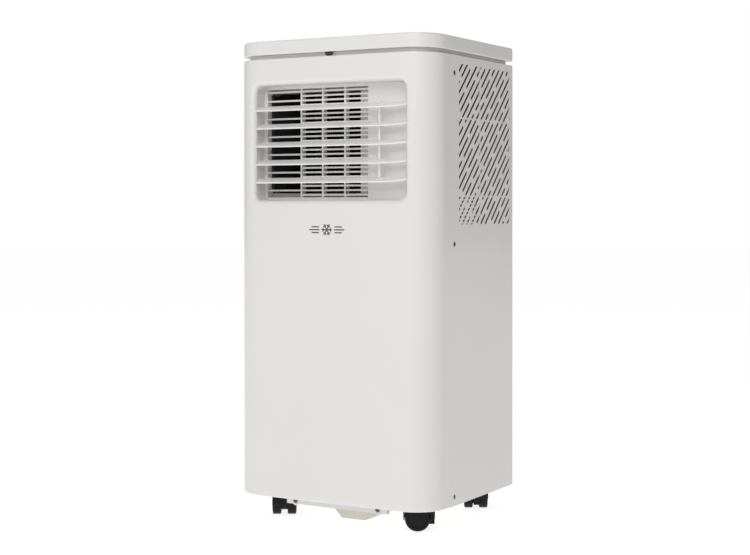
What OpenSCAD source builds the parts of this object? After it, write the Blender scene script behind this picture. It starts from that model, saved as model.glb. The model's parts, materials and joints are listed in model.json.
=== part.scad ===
// Portable air conditioner: a cabinet on four casters, with the cold side above a drip tray
// and the hot side below it. The origin is on the floor under the middle of the cabinet,
// the front faces -Y and +Z is up. All sizes are in millimetres.

/* [Cabinet] */
// Width of the cabinet
body_w = 320; // [280:1:400]
// Depth of the cabinet
body_d = 268; // [240:1:330]
// Height from the floor to the top of the cover
overall_h = 680; // [600:1:820]
// Wall of the moulded shells
wall = 2.5; // [2:0.1:4]
// Radius of the two front corners
front_r = 46; // [20:1:60]
// Radius of the two rear corners
rear_r = 6; // [4:0.5:12]
// Distance from the front face to the seam between the shells
seam_setback = 64; // [56:1:80]
// How far the shells hang below the base pan
skirt_drop = 2.4; // [1.5:0.1:4]
// Depth of the front lip under the cabinet
lip_depth = 27.5; // [20:0.5:40]
// Width of the strip that hangs from the lip
strip_w = 164; // [120:1:200]
// Height of that strip below the cabinet
strip_h = 11; // [8:0.5:14]
// Distance of the strip screws from the middle
strip_screw_x = 67; // [50:1:80]

/* [Top cover] */
// Height of the top cover
lid_h = 19.8; // [16:0.1:30]
// Height of the shadow gap under the cover
lid_gap = 5.9; // [4:0.1:10]
// How far the collar in the gap stands back
collar_step = 9; // [6:0.5:14]
// Thickness of the cover's top
lid_top_t = 3; // [2:0.1:5]

/* [Air outlet] */
// Width of the outlet inside its frame
outlet_w = 247; // [200:1:260]
// Height of the outlet inside its frame
outlet_h = 162; // [130:1:200]
// Corner radius of the outlet
outlet_r = 12; // [6:1:20]
// Distance from the top of the shells to the outlet
outlet_drop = 37.3; // [25:0.1:60]
// Wall of the outlet frame
frame_t = 2.5; // [2:0.1:4]
// Depth of the outlet frame
frame_d = 41; // [36:1:60]
// Width of the open part of the outlet, from its left side
mouth_w = 174; // [140:1:190]

/* [Louvres] */
// Number of louvre blades
blade_n = 5; // [5]
// Distance between blades
blade_pitch = 25.5; // [21:0.5:27]
// Chord of a blade
blade_chord = 20; // [18:0.5:22]
// Thickness of a blade
blade_t = 2.2; // [1.8:0.1:3]
// Downward tilt of the blades at rest
blade_tilt = 20; // [10:1:25]
// Distance from a blade's front edge to its pivot
blade_nose = 12; // [11:0.5:13]
// Radius of the pivot pins
pivot_r = 1.4; // [1:0.1:1.8]
// Distance from a blade's pivot to its link pin
link_arm = 7; // [7:0.5:8]
// Place of the link bar, from the middle
link_x = 73; // [60:1:85]

/* [Side grilles] */
// Depth of a grille
grille_w = 166; // [140:1:170]
// Height of a grille
grille_h = 222.6; // [180:0.1:240]
// Distance from the top of the shells to the grille
grille_drop = 10.7; // [8:0.1:40]
// Distance from the rear face to the grille
grille_setback = 14; // [12:0.5:30]
// Width of one slot
slot_w = 4.2; // [3:0.1:5]
// Distance between slots, across them
slot_pitch = 10.4; // [8:0.1:12]
// Distance between breaks along a slot
slot_run = 73.4; // [60:0.1:90]
// Length of a break
slot_break = 7.5; // [5:0.1:12]

/* [Control panel] */
// Width of the panel
panel_w = 190; // [170:1:220]
// Depth of the panel
panel_d = 62; // [56:1:80]
// Radius of a button
button_r = 6; // [5:0.1:6]
// Travel of a button
button_travel = 0.8; // [0.5:0.1:1]
// Distance between buttons
button_pitch = 26; // [22:1:28]

/* [Exhaust] */
// Radius of the exhaust bore
exhaust_r = 65; // [55:1:68]
// Height of the exhaust's middle
exhaust_z = 300; // [295:1:310]
// Sideways place of the exhaust
exhaust_x = -30; // [-40:1:0]
// Depth of the pocket around the exhaust
pocket_d = 14; // [10:1:16]

/* [Casters] */
// Radius of a caster wheel
wheel_r = 17.5; // [16:0.5:22]
// Width of a caster wheel
wheel_w = 12; // [10:0.5:13]
// Width of the web between the two wheels
web_w = 8.6; // [8:0.1:12]
// Distance from the swivel axis to the axle
trail = 8; // [6:0.5:10]
// Radius of the swivel stem
stem_r = 4; // [3:0.1:5]
// Distance from the cabinet's side to a swivel axis
caster_inset_x = 46; // [40:1:60]
// Distance from the front face to the front swivel axes
caster_front = 69; // [62:1:80]
// Distance from the rear face to the rear swivel axes
caster_rear = 33; // [32:1:50]

/* [Inner parts] */
// Height of the drip tray's underside
tray_z = 398; // [396:1:420]
// Radius of the upper blower
upper_blower_r = 58; // [45:1:60]
// Radius of the lower blower
lower_blower_r = 60; // [50:1:62]
// Radius of the compressor
compressor_r = 48; // [40:1:50]
// Radius of the drain spigot
drain_r = 6.5; // [5.5:0.1:8]
// Radius of the cable entry
cable_r = 4; // [3:0.1:6]

/* [Hidden] */
$fn = 96;

shell_colour = [0.92, 0.91, 0.89];
dark_colour = [0.08, 0.08, 0.09];
copper_colour = [0.72, 0.45, 0.30];
steel_colour = [0.62, 0.63, 0.65];
pan_colour = [0.86, 0.82, 0.74];

// Clearances
run_gap = 0.05;      // a pin or shaft in its bore
slide_gap = 0.4;     // a part that slides or turns past another
shake = 0.6;         // a loose part beside a fixed one
over = 1;            // how far a cut runs past a face
bond = 0.4;          // how far a pipe or bracket sinks into what it is brazed to

// Casters set the height of everything above them
hood_gap = 0.6;
hood_t = 1.4;
hood_r = wheel_r + hood_gap + hood_t;
caster_h = wheel_r + hood_r;
pan_gap = 1;
pan_z = caster_h + pan_gap;
stem_h = 15;
socket_wall = 4.5;
socket_h = stem_h + pan_gap + 2.5;
socket_top = pan_z + socket_h;
caster_x = body_w / 2 - caster_inset_x;
caster_y_front = -body_d / 2 + caster_front;
caster_y_rear = body_d / 2 - caster_rear;
CASTERS = [
  [-caster_x, caster_y_front, 30],
  [caster_x, caster_y_front, -60],
  [caster_x, caster_y_rear, -150],
  [-caster_x, caster_y_rear, 160]
];

// Levels and faces of the cabinet
skirt_z = pan_z - skirt_drop;
lid_z = overall_h - lid_h;
body_top = lid_z - lid_gap;
front_y = -body_d / 2;
rear_y = body_d / 2;
side_x = body_w / 2;
seam_y = front_y + seam_setback;
rim_t = 2.5;
rim_w = collar_step + wall + 1;

// Screws through the sides
flange_t = 2.5;
flange_reach = 14;
flange_h = 24;
screw_r = 1.5;
screw_head_r = 3.2;
screw_head_h = 1.5;
sink_r = 3.5;
sink_d = 1.7;
side_screw_y = seam_y + 10.5;
SIDE_SCREW_Z = [skirt_z + 12.5, (skirt_z + body_top) / 2 + 49.6, body_top - 24.8];

// Front lip, strip and its tabs
strip_t = 2.5;
strip_y = front_y + lip_depth - strip_t;
strip_z = skirt_z - strip_h;
tab_r = 7;
tab_z = strip_z + 5;

// Air outlet
outlet_z1 = body_top - outlet_drop;
outlet_z0 = outlet_z1 - outlet_h;
outlet_z = (outlet_z0 + outlet_z1) / 2;
frame_back = front_y + frame_d;
guard_t = 10;
guard_y = frame_back - guard_t;
mouth_x0 = -outlet_w / 2;
mouth_x1 = mouth_x0 + mouth_w;
rib_t = 2.5;
GUARD_RIBS = [0.35, 0.555, 0.765];
bar_t = 2.4;
bar_pitch = blade_pitch / 4;

// Louvres
blade_drop = 1.7;
blade_gap = 1;
edge_setback = 3;
pivot_y = front_y + edge_setback + blade_nose * cos(blade_tilt);
blade_len = outlet_w - 2 * blade_gap;
blade_sweep = 11;
blade_sweep_x = 62;
sweep_steps = 12;
pin_r = 1;
notch_w = 5;
notch_edge = 2.8;
link_t = 3;
lug_t = 2;
lug_back = 0.4;
link_front = 3.1;
link_back = 2.6;
motor_r = 10;
motor_h = 11;
motor_offset = 6;

// Side grilles
grille_z1 = body_top - grille_drop;
grille_z0 = grille_z1 - grille_h;
grille_y1 = rear_y - grille_setback;
grille_y0 = grille_y1 - grille_w;
grille_z = (grille_z0 + grille_z1) / 2;
grille_y = (grille_y0 + grille_y1) / 2;
slot_row_shift = 4.3;
slot_run_shift = 9;
cross_rib_w = 2.4;
cross_rib_t = 2;
fine_pitch = 5.3;
fine_w = 54.5;
fine_h = 39.5;

// Filter door at the rear
door_w = 230;
door_h = 186;
door_z0 = outlet_z0 - 12;
door_t = 2.8;
door_gap = 0.6;
hinge_up = 2.6;
hinge_pin_r = 0.9;
hinge_lug = 6;
door_slot_h = 4;
door_slot_pitch = 9;
mesh_t = 1.5;
mesh_edge = 8;

// Control panel
panel_y = front_y + 56;
panel_t = 2.5;
panel_top = overall_h - 1.2;
button_y = panel_y + 10;
button_lift = 0.8;
flange_h2 = 1;
flange_step = 1.2;
board_t = 1.6;
board_z = panel_top - 12.4;
switch_h = 4.5;
display_w = 48;
display_d = 16;
display_y = panel_y - 16;
BUTTON_X = [for (i = [0:5]) (i - 2.5) * button_pitch];

// Exhaust
pocket_r = exhaust_r + 23;
collar_t = 2.5;
collar_out = rear_y - 1.5;
collar_len = 22;
collar_flange = 12;
duct_gap = 3;

// Base pan
pan_inset = wall + flange_t;
pan_t = 3;
pan_h = 32;
sump_x = 11;
sump_y0 = front_y + 39;
sump_y1 = sump_y0 + 135;
sump_w = 77;
sump_foot_w = 38;
sump_foot = 15;
sump_z = 6;
drain_z = 21;
drain_end = sump_y1 + 18;
drain_len = 12;
sump_t = 2.5;
plug_len = 9;

// Cold side
tray_t = 3;
tray_rim = 24;
coil_d = 28;
evap_w = 250;
evap_y = rear_y - 46;
upper_x = -22;
upper_y = -4;
scroll_t = 2;
shaft_r = 4;
upper_motor_r = 36;

// Hot side
hot_x = -30;
hot_z = pan_z + 98;
hot_y0 = 8;
hot_d = 72;
cond_w = 215;
cond_h = 168;
cond_x = -140;
cond_y = hot_y0 + hot_d;
comp_x = 90;
comp_y = -50;
comp_foot_h = 16;
foot_ring = 58;
foot_t = 2.5;
can_h = 190;

// ---------------------------------------------------------------- shared shapes

// Plan of the cabinet, moved in from its faces by inset
module outline(inset = 0) {
  half_w = side_x - inset;
  half_d = rear_y - inset;
  fr = max(front_r - inset, 1);
  rr = max(rear_r - inset, 1);
  translate([-half_w, -half_d + fr]) square([2 * half_w, 2 * half_d - fr - rr]);
  translate([-half_w + fr, -half_d]) square([2 * (half_w - fr), fr + over]);
  translate([-half_w + rr, half_d - rr - over]) square([2 * (half_w - rr), rr + over]);
  for (side = [-1, 1]) {
    translate([side * (half_w - fr), -half_d + fr]) circle(fr);
    translate([side * (half_w - rr), half_d - rr]) circle(rr);
  }
}

module slab(z0, z1, inset = 0) {
  translate([0, 0, z0]) linear_extrude(z1 - z0) outline(inset);
}

// A rectangle about the origin with round corners
module round_rect(w, h, r) {
  translate([-w / 2, -h / 2 + r]) square([w, h - 2 * r]);
  translate([-w / 2 + r, -h / 2]) square([w - 2 * r, h]);
  for (x = [-1, 1], y = [-1, 1]) translate([x * (w / 2 - r), y * (h / 2 - r)]) circle(r);
}

// A shape drawn in X and Z, standing on the plane y and reaching back by depth
module upright(y, depth) {
  translate([0, y + depth, 0]) rotate([90, 0, 0]) linear_extrude(depth) children();
}

module box(x0, x1, y0, y1, z0, z1) {
  translate([x0, y0, z0]) cube([x1 - x0, y1 - y0, z1 - z0]);
}

module rod_x(x0, x1, y, z, r) {
  translate([x0, y, z]) rotate([0, 90, 0]) cylinder(h = x1 - x0, r = r);
}

module rod_y(x, y0, y1, z, r) {
  translate([x, y1, z]) rotate([90, 0, 0]) cylinder(h = y1 - y0, r = r);
}

module rod_z(x, y, z0, z1, r) {
  translate([x, y, z0]) cylinder(h = z1 - z0, r = r);
}

// A tube along straight runs between points, with round elbows
module pipe(points, r) {
  for (i = [0:len(points) - 2]) {
    run = points[i + 1] - points[i];
    translate(points[i])
      rotate([0, acos(run[2] / norm(run)), atan2(run[1], run[0])])
        cylinder(h = norm(run), r = r, $fn = 32);
  }
  for (i = [1:len(points) - 2]) translate(points[i]) sphere(r, $fn = 32);
}

// Scroll outline of four arcs, each larger than the last by step
module scroll_outline(r0, step) {
  quarter(r0, 0, [0, 0]);
  quarter(r0 + step, 90, [0, -step]);
  quarter(r0 + 2 * step, 180, [step, -step]);
  quarter(r0 + 3 * step, 270, [step, 0]);
  translate([0, -step]) square(step);
}

module quarter(r, turn, centre) {
  translate(centre) rotate(turn) intersection() {
    circle(r);
    square(r);
  }
}

// Squirrel-cage wheel about Z: blades between a back plate and a front ring, and a hub
module squirrel_cage(r, h, hub_h) {
  blades = 36;
  ring_w = 7;
  plate_t = 2.5;
  difference() {
    union() {
      cylinder(h = plate_t, r = r);
      cylinder(h = hub_h, r = shaft_r + 5);
    }
    translate([0, 0, -over]) cylinder(h = hub_h + 2 * over, r = shaft_r + run_gap);
  }
  translate([0, 0, h - plate_t]) difference() {
    cylinder(h = plate_t, r = r);
    translate([0, 0, -over]) cylinder(h = plate_t + 2 * over, r = r - ring_w);
  }
  for (i = [0:blades - 1]) rotate(i * 360 / blades) translate([r - ring_w + 0.8, 0, plate_t / 2])
    rotate(24) cube([ring_w - 2, 1.2, h - plate_t]);
}

// Finned coil block, w wide from the origin, with tube bends past both ends
module coil(w, h) {
  fin_pitch = 8;
  groove = 3;
  bend_r = 8;
  tube_r = 3.5;
  rows = floor(h / (4 * bend_r));
  translate([0, groove, 0]) cube([w, coil_d - 2 * groove, h]);
  for (i = [0:floor(w / fin_pitch) - 1]) translate([i * fin_pitch, 0, 0]) cube([fin_pitch / 2, coil_d, h]);
  for (end = [0, 1], i = [0:rows - 1])
    translate([end * w, coil_d / 2, (i + 0.5) * h / rows]) rotate([90, 0, 90 - 180 * end])
      rotate([0, -90, 0]) rotate([0, 0, 90]) rotate_extrude(angle = 180)
        translate([bend_r, 0]) circle(tube_r, $fn = 32);
}

module side_screw_at(y, z, side) {
  head_x = side_x - sink_d;
  mirror([side < 0 ? 1 : 0, 0, 0]) {
    difference() {
      rod_x(head_x, head_x + screw_head_h, y, z, screw_head_r);
      cross_recess_x(head_x + screw_head_h, y, z);
    }
    rod_x(head_x - wall - flange_t - 2, head_x, y, z, screw_r);
  }
}

module cross_recess_x(x, y, z) {
  for (turn = [0, 90]) translate([x, y, z]) rotate([45 + turn, 0, 0])
    cube([1.4, 0.8, 3.6], center = true);
}

// ---------------------------------------------------------------- shells

module shell_blank() {
  difference() {
    slab(skirt_z, body_top);
    slab(skirt_z - over, body_top - rim_t, wall);
    slab(body_top - rim_t - over, body_top + over, rim_w);
  }
}

module front_zone(back) {
  box(-side_x - over, side_x + over, front_y - over, back, 0, overall_h);
}

module strip_outline() {
  translate([-strip_w / 2, strip_z]) square([strip_w, strip_h]);
  for (side = [-1, 1]) translate([side * strip_screw_x, tab_z]) circle(tab_r);
}

module front_shell() color(shell_colour) {
  difference() {
    union() {
      intersection() {
        shell_blank();
        front_zone(seam_y);
      }
      intersection() {
        slab(skirt_z, pan_z);
        front_zone(strip_y + strip_t);
      }
      for (side = [-1, 1], z = SIDE_SCREW_Z) screw_flange(side, z);
    }
    upright(front_y - over, front_r / 4) translate([0, outlet_z])
      round_rect(outlet_w + 2 * frame_t, outlet_h + 2 * frame_t, outlet_r + frame_t);
    rod_y(0, front_y - over, front_y + rim_w + over, lid_z, 7);
    for (side = [-1, 1], z = SIDE_SCREW_Z)
      rod_x(side * side_x - 9, side * side_x + 9, side_screw_y, z, screw_r);
    emblem_shape();
  }
}

// Strip under the front edge, with a round ear for each screw
module foot_strip() color(shell_colour) difference() {
  intersection() {
    upright(strip_y, strip_t) strip_outline();
    box(-side_x, side_x, strip_y - over, strip_y + strip_t + over, 0, skirt_z);
  }
  for (side = [-1, 1])
    rod_y(side * strip_screw_x, strip_y - over, strip_y + strip_t + over, tab_z, screw_r);
}

module screw_flange(side, z) {
  x = side * (side_x - wall - flange_t / 2);
  y0 = seam_y - flange_reach;
  y1 = side_screw_y + flange_reach / 2;
  box(x - flange_t / 2, x + flange_t / 2, y0, y1, max(z - flange_h / 2, pan_z), z + flange_h / 2);
}

module grille_window() {
  translate([grille_y, grille_z]) square([grille_w, grille_h], center = true);
}

module rear_shell() color(shell_colour) {
  difference() {
    union() {
      difference() {
        shell_blank();
        front_zone(seam_y);
      }
      rod_y(exhaust_x, rear_y - pocket_d - wall, rear_y - wall / 2, exhaust_z, pocket_r + wall);
      for (side = [-1, 1]) door_bearing(side);
    }
    for (side = [-1, 1]) translate([side * side_x, 0, 0]) rotate([90, 0, 90])
      translate([0, 0, -2 * wall]) linear_extrude(4 * wall) grille_window();
    for (side = [-1, 1], z = SIDE_SCREW_Z) {
      rod_x(side * side_x - 9, side * side_x + 9, side_screw_y, z, screw_r);
      rod_x(side * side_x - sink_d, side * side_x + sink_d, side_screw_y, z, sink_r);
    }
    box(-door_w / 2 - door_gap, door_w / 2 + door_gap, rear_y - wall - over, rear_y + over,
      door_z0 - door_gap, door_z0 + door_h + door_gap);
    rod_y(exhaust_x, rear_y - pocket_d, rear_y + over, exhaust_z, pocket_r);
    rod_y(exhaust_x, rear_y - pocket_d - 2 * wall, rear_y, exhaust_z, exhaust_r + collar_t);
    rod_y(cable_x, rear_y - wall - over, rear_y + over, cable_z, cable_r + 4);
    intake_slots();
    for (side = [-1, 1]) rod_x(side * (door_w / 2 + hinge_lug / 2) - hinge_lug, side * (door_w / 2 +
      hinge_lug / 2) + hinge_lug, door_pivot_y, door_pivot_z, hinge_pin_r + run_gap);
  }
}

cable_x = side_x - 40;
cable_z = pan_z + 44;
door_pivot_y = rear_y - 0.2 - door_t / 2;
door_pivot_z = door_z0 + hinge_up;

// Ear behind the rear wall that carries one end of the filter door's hinge
module door_bearing(side) {
  x = side * (door_w / 2 + door_gap + hinge_lug / 2);
  box(x - hinge_lug / 2, x + hinge_lug / 2, rear_y - wall - 3.5, rear_y - wall / 2,
    door_pivot_z - 5, door_pivot_z + 5);
}

module intake_slots() {
  cols = 3;
  col_w = 66;
  col_gap = 8;
  slot_h = 4;
  pitch = 9;
  rows = 13;
  for (c = [0:cols - 1], r = [0:rows - 1])
    translate([cond_x + 10 + c * (col_w + col_gap), rear_y - wall - over, pan_z + 22 + r * pitch])
      cube([col_w, wall + 2 * over, slot_h]);
}

// Slots at 45 degrees in staggered runs, kept inside the grille's window
module grille_slots() {
  rows = ceil((grille_w + grille_h) / 1.4 / slot_pitch / 2) + 1;
  runs = ceil((grille_w + grille_h) / 1.4 / slot_run / 2) + 1;
  intersection() {
    grille_window();
    translate([grille_y, grille_z]) rotate(45) for (k = [-rows:rows], n = [-runs:runs])
      translate([slot_run_shift + (n + (k % 2 == 0 ? 0 : 0.5)) * slot_run, slot_row_shift + k * slot_pitch])
        round_rect(slot_run - slot_break, slot_w, slot_w / 2 - 0.01);
  }
}

module side_grille() {
  x1 = side_x - wall;
  translate([side_x - wall, 0, 0]) rotate([90, 0, 90]) linear_extrude(wall) difference() {
    grille_window();
    grille_slots();
  }
  for (z = [grille_z0 + fine_h, grille_z0 + 147.5]) box(x1 - cross_rib_t, x1, grille_y0, grille_y1,
    z - cross_rib_w / 2, z + cross_rib_w / 2);
  box(x1 - cross_rib_t, x1, grille_y0 + 67, grille_y0 + 67 + cross_rib_w, grille_z0, grille_z1);
  for (z = [grille_z0 + fine_pitch / 2:fine_pitch:grille_z0 + fine_h - 2])
    box(x1 - cross_rib_t, x1, grille_y0, grille_y0 + fine_w, z - 1, z + 1);
}

module side_grille_right() color(shell_colour) side_grille();
module side_grille_left() color(shell_colour) mirror([1, 0, 0]) side_grille();

module filter_door() color(shell_colour) {
  y1 = rear_y - 0.2;
  slots = floor((door_h - 24) / door_slot_pitch);
  difference() {
    box(-door_w / 2, door_w / 2, y1 - door_t, y1, door_z0, door_z0 + door_h);
    for (side = [-1, 1], i = [0:slots - 1])
      translate([side * door_w / 4 - door_w / 4 + 14, y1 - door_t - over,
      door_z0 + 14 + i * door_slot_pitch]) cube([door_w / 2 - 28, door_t + 2 * over, door_slot_h]);
    translate([-22, y1 - 1.4, door_z0 + door_h - 10]) cube([44, 2, 7]);
  }
  for (side = [-1, 1]) rod_x(side * door_w / 2 - hinge_lug / 2 - 1, side * door_w / 2 + hinge_lug / 2 + 1,
    door_pivot_y, door_pivot_z, hinge_pin_r);
}

module filter_mesh() color(dark_colour) {
  y1 = rear_y - 0.2 - door_t;
  box(-door_w / 2 + mesh_edge, door_w / 2 - mesh_edge, y1 - mesh_t, y1, door_z0 + mesh_edge,
    door_z0 + door_h - mesh_edge);
}

module top_collar() color(shell_colour) difference() {
  slab(body_top, lid_z, collar_step);
  slab(body_top - over, lid_z + over, collar_step + wall);
}

module top_cover() color(shell_colour) {
  edge = 1.2;
  difference() {
    union() {
      slab(lid_z, lid_z + edge, edge);
      slab(lid_z + edge, overall_h - edge);
      slab(overall_h - edge, overall_h, edge);
    }
    slab(lid_z - over, lid_z + rim_t + over, rim_w);
    slab(lid_z + rim_t, overall_h - lid_top_t, wall);
    translate([0, panel_y, 0]) translate([0, 0, overall_h - 2 * lid_top_t])
      linear_extrude(3 * lid_top_t) round_rect(panel_w, panel_d, 8);
  }
}

module remote_receiver() color(dark_colour) intersection() {
  rod_y(0, front_y + 3.5, front_y + collar_step, lid_z, 5.5);
  box(-10, 10, front_y, 0, lid_z - 10, lid_z);
}

// Six-armed frost mark between two short runs of air lines
module emblem_outline() {
  arm = 8.5;
  line = 1.8;
  for (i = [0:5]) rotate(60 * i) {
    translate([0, -line / 2]) square([arm, line]);
    for (s = [-1, 1]) translate([arm * 0.58, 0]) rotate(60 * s)
      translate([0, -line / 2]) square([3, line]);
  }
  for (side = [-1, 1], i = [-1:1]) translate([side * (20 - abs(i) * 1.5), 4 * i])
    round_rect(17 - abs(i) * 5, line, line / 2 - 0.01);
}

module emblem_shape() {
  upright(front_y - 0.001, 0.8) translate([0, outlet_z0 - 41]) emblem_outline();
}

module front_emblem() color([0.35, 0.36, 0.38]) upright(front_y, 0.799) translate([0, outlet_z0 - 41])
  emblem_outline();

// ---------------------------------------------------------------- air outlet

module outlet_frame() color(shell_colour) {
  difference() {
    intersection() {
      upright(front_y, frame_d) translate([0, outlet_z])
        round_rect(outlet_w + 2 * frame_t, outlet_h + 2 * frame_t, outlet_r + frame_t);
      slab(outlet_z0 - 2 * frame_t, outlet_z1 + 2 * frame_t);
    }
    upright(front_y - over, frame_d + 2 * over) translate([0, outlet_z])
      round_rect(outlet_w, outlet_h, outlet_r);
    for (i = [1:blade_n]) rod_x(-outlet_w, outlet_w, pivot_y, pivot_z(i), pivot_r + run_gap);
  }
  intersection() {
    upright(guard_y, frame_t) translate([0, outlet_z])
      round_rect(outlet_w + 0.2, outlet_h + 0.2, outlet_r);
    box(mouth_x1, outlet_w, front_y, 0, 0, overall_h);
  }
}

function pivot_z(i) = outlet_z - blade_drop + ((blade_n + 1) / 2 - i) * blade_pitch;

module outlet_guard() color(shell_colour) intersection() {
  union() {
    box(mouth_x0, mouth_x0 + 5, guard_y, frame_back, outlet_z0, outlet_z1);
    box(mouth_x1 - rib_t, mouth_x1, guard_y, frame_back, outlet_z0, outlet_z1);
    for (share = GUARD_RIBS) box(mouth_x0 + share * mouth_w, mouth_x0 + share * mouth_w + rib_t, guard_y,
      frame_back, outlet_z0, outlet_z1);
    for (z = [outlet_z0, outlet_z1 - 4]) box(mouth_x0, mouth_x1, guard_y, frame_back, z, z + 4);
    for (i = [1:floor(outlet_h / bar_pitch) - 1]) box(i % 2 == 0 ? mouth_x0 : mouth_x0 +
      GUARD_RIBS[0] * mouth_w, mouth_x1, guard_y + 1, guard_y + 1 + bar_t, outlet_z0 + i * bar_pitch,
      outlet_z0 + i * bar_pitch + bar_t);
  }
  upright(guard_y - over, guard_t + 2 * over) translate([0, outlet_z])
    round_rect(outlet_w, outlet_h, outlet_r);
}

// Plan of a blade: straight front edge, swept back towards its right end
module blade_plan() {
  end_x = blade_len / 2;
  back = blade_chord - blade_nose;
  difference() {
    polygon(concat([[-end_x, back], [-end_x, -blade_nose]],
      [for (i = [0:sweep_steps]) [blade_sweep_x + (end_x - blade_sweep_x) * i / sweep_steps,
        blade_sweep * pow(i / sweep_steps, 3) - blade_nose]],
      [[end_x, back]]));
    translate([link_x - notch_w / 2, notch_edge]) square([notch_w, blade_chord]);
  }
}

module louvre_blade(i) color(shell_colour) translate([0, pivot_y, pivot_z(i)]) {
  left_end = i == 3 ? -outlet_w / 2 - frame_t - 5 : -outlet_w / 2 - frame_t + 0.3;
  rotate([blade_tilt, 0, 0]) translate([0, 0, -blade_t / 2]) linear_extrude(blade_t) blade_plan();
  rod_x(left_end, -blade_len / 2 + 3, 0, 0, pivot_r);
  rod_x(blade_len / 2 - 3, outlet_w / 2 + frame_t - 0.3, 0, 0, pivot_r);
  lug_x = notch_w / 2 + lug_back + lug_t / 2;
  rod_x(link_x - lug_x, link_x + lug_x, link_arm, 0, pin_r);
  for (side = [-1, 1]) translate([link_x + side * lug_x - lug_t / 2, 0, 0])
    rotate([90, 0, 90]) linear_extrude(lug_t) lug_outline();
}

// Ear under a blade that holds the link pin, drawn in Y and Z
module lug_outline() {
  lug_r = pin_r + 1;
  translate([link_arm, 0]) circle(lug_r);
  translate([link_arm - lug_r, 0]) square([2 * lug_r, link_arm * tan(blade_tilt)]);
}

module louvre_blade_1() louvre_blade(1);
module louvre_blade_2() louvre_blade(2);
module louvre_blade_3() louvre_blade(3);
module louvre_blade_4() louvre_blade(4);
module louvre_blade_5() louvre_blade(5);

module louvre_link() color(shell_colour) difference() {
  y = pivot_y + link_arm;
  box(link_x - link_t / 2, link_x + link_t / 2, y - link_front, y + link_back, pivot_z(blade_n) - 5,
    pivot_z(1) + 5);
  for (i = [1:blade_n]) {
    rod_x(link_x - link_t, link_x + link_t, y - 1.1, pivot_z(i), pin_r + 0.35);
    rod_x(link_x - link_t, link_x + link_t, y + 0.2, pivot_z(i), pin_r + 0.35);
    box(link_x - link_t, link_x + link_t, y - 1.1, y + 0.2,
      pivot_z(i) - pin_r - 0.35, pivot_z(i) + pin_r + 0.35);
  }
}

module swing_motor() color(steel_colour) difference() {
  x1 = -outlet_w / 2 - frame_t;
  union() {
    rod_x(x1 - motor_h, x1, pivot_y + motor_offset, pivot_z(3), motor_r);
    box(x1 - 1, x1, pivot_y + motor_offset - 3, pivot_y + motor_offset + 3, pivot_z(3) - motor_r - 5,
      pivot_z(3) + motor_r + 5);
  }
  rod_x(x1 - 6, x1 + over, pivot_y, pivot_z(3), pivot_r + run_gap);
}

// ---------------------------------------------------------------- control panel

module control_panel() color([0.85, 0.85, 0.84]) {
  difference() {
    translate([0, panel_y, panel_top - panel_t]) linear_extrude(panel_t) round_rect(panel_w, panel_d, 8);
    for (x = BUTTON_X)
      rod_z(x, button_y, panel_top - panel_t - over, panel_top + over, button_r + slide_gap);
    box(-display_w / 2, display_w / 2, display_y - display_d / 2, display_y + display_d / 2,
      panel_top - panel_t - over, panel_top + over);
  }
  for (x = [-1, 1], y = [-1, 1]) rod_z(x * (panel_w / 2 - 10), panel_y + y * (panel_d / 2 - 12),
    board_z, panel_top - panel_t, 3);
}

module display_window() color(dark_colour) box(-display_w / 2, display_w / 2, display_y - display_d / 2,
  display_y + display_d / 2, panel_top - 1.6, panel_top);

// A button with its retaining flange under the panel and a plunger above its switch
module button(i) color([0.75, 0.76, 0.78]) {
  flange_top = panel_top - panel_t - 0.3;
  x = BUTTON_X[i];
  rod_z(x, button_y, flange_top - flange_h2, panel_top + button_lift, button_r);
  rod_z(x, button_y, flange_top - flange_h2, flange_top, button_r + flange_step);
  rod_z(x, button_y, board_z + switch_h + button_travel + 0.3, flange_top, 2);
}

module power_button() button(0);
module mode_button() button(1);
module fan_button() button(2);
module timer_button() button(3);
module warmer_button() button(4);
module cooler_button() button(5);

module control_board() color([0.10, 0.35, 0.20]) {
  box(-panel_w / 2 + 4, panel_w / 2 - 4, panel_y - panel_d / 2 + 5, panel_y + panel_d / 2 - 5,
    board_z - board_t, board_z);
  for (x = BUTTON_X) box(x - 3, x + 3, button_y - 3, button_y + 3, board_z, board_z + switch_h);
  box(-display_w / 2 + 2, display_w / 2 - 2, display_y - 5, display_y + 5, board_z, panel_top - 1.6 - 0.5);
}

// ---------------------------------------------------------------- cold side

module drip_tray() color([0.20, 0.20, 0.21]) difference() {
  slab(tray_z, tray_z + tray_rim, pan_inset);
  slab(tray_z + tray_t, tray_z + tray_rim + over, pan_inset + tray_t);
  for (p = RISERS) rod_z(p[0], p[1], tray_z - over, tray_z + tray_t + over, 8);
}

RISERS = [[side_x - 28, comp_y - 12], [side_x - 28, comp_y + 88]];

module evaporator() color([0.70, 0.71, 0.72]) translate([-evap_w / 2, evap_y, tray_z + tray_t])
  coil(evap_w, outlet_z1 - tray_z - tray_t + 5);

module upper_outline() {
  translate([upper_x, upper_y]) mirror([1, 0]) rotate(90) scroll_outline(upper_blower_r + 8, 4);
  translate([mouth_x0 + 4, frame_back]) square([mouth_w - 4, upper_y - frame_back]);
}

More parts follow.
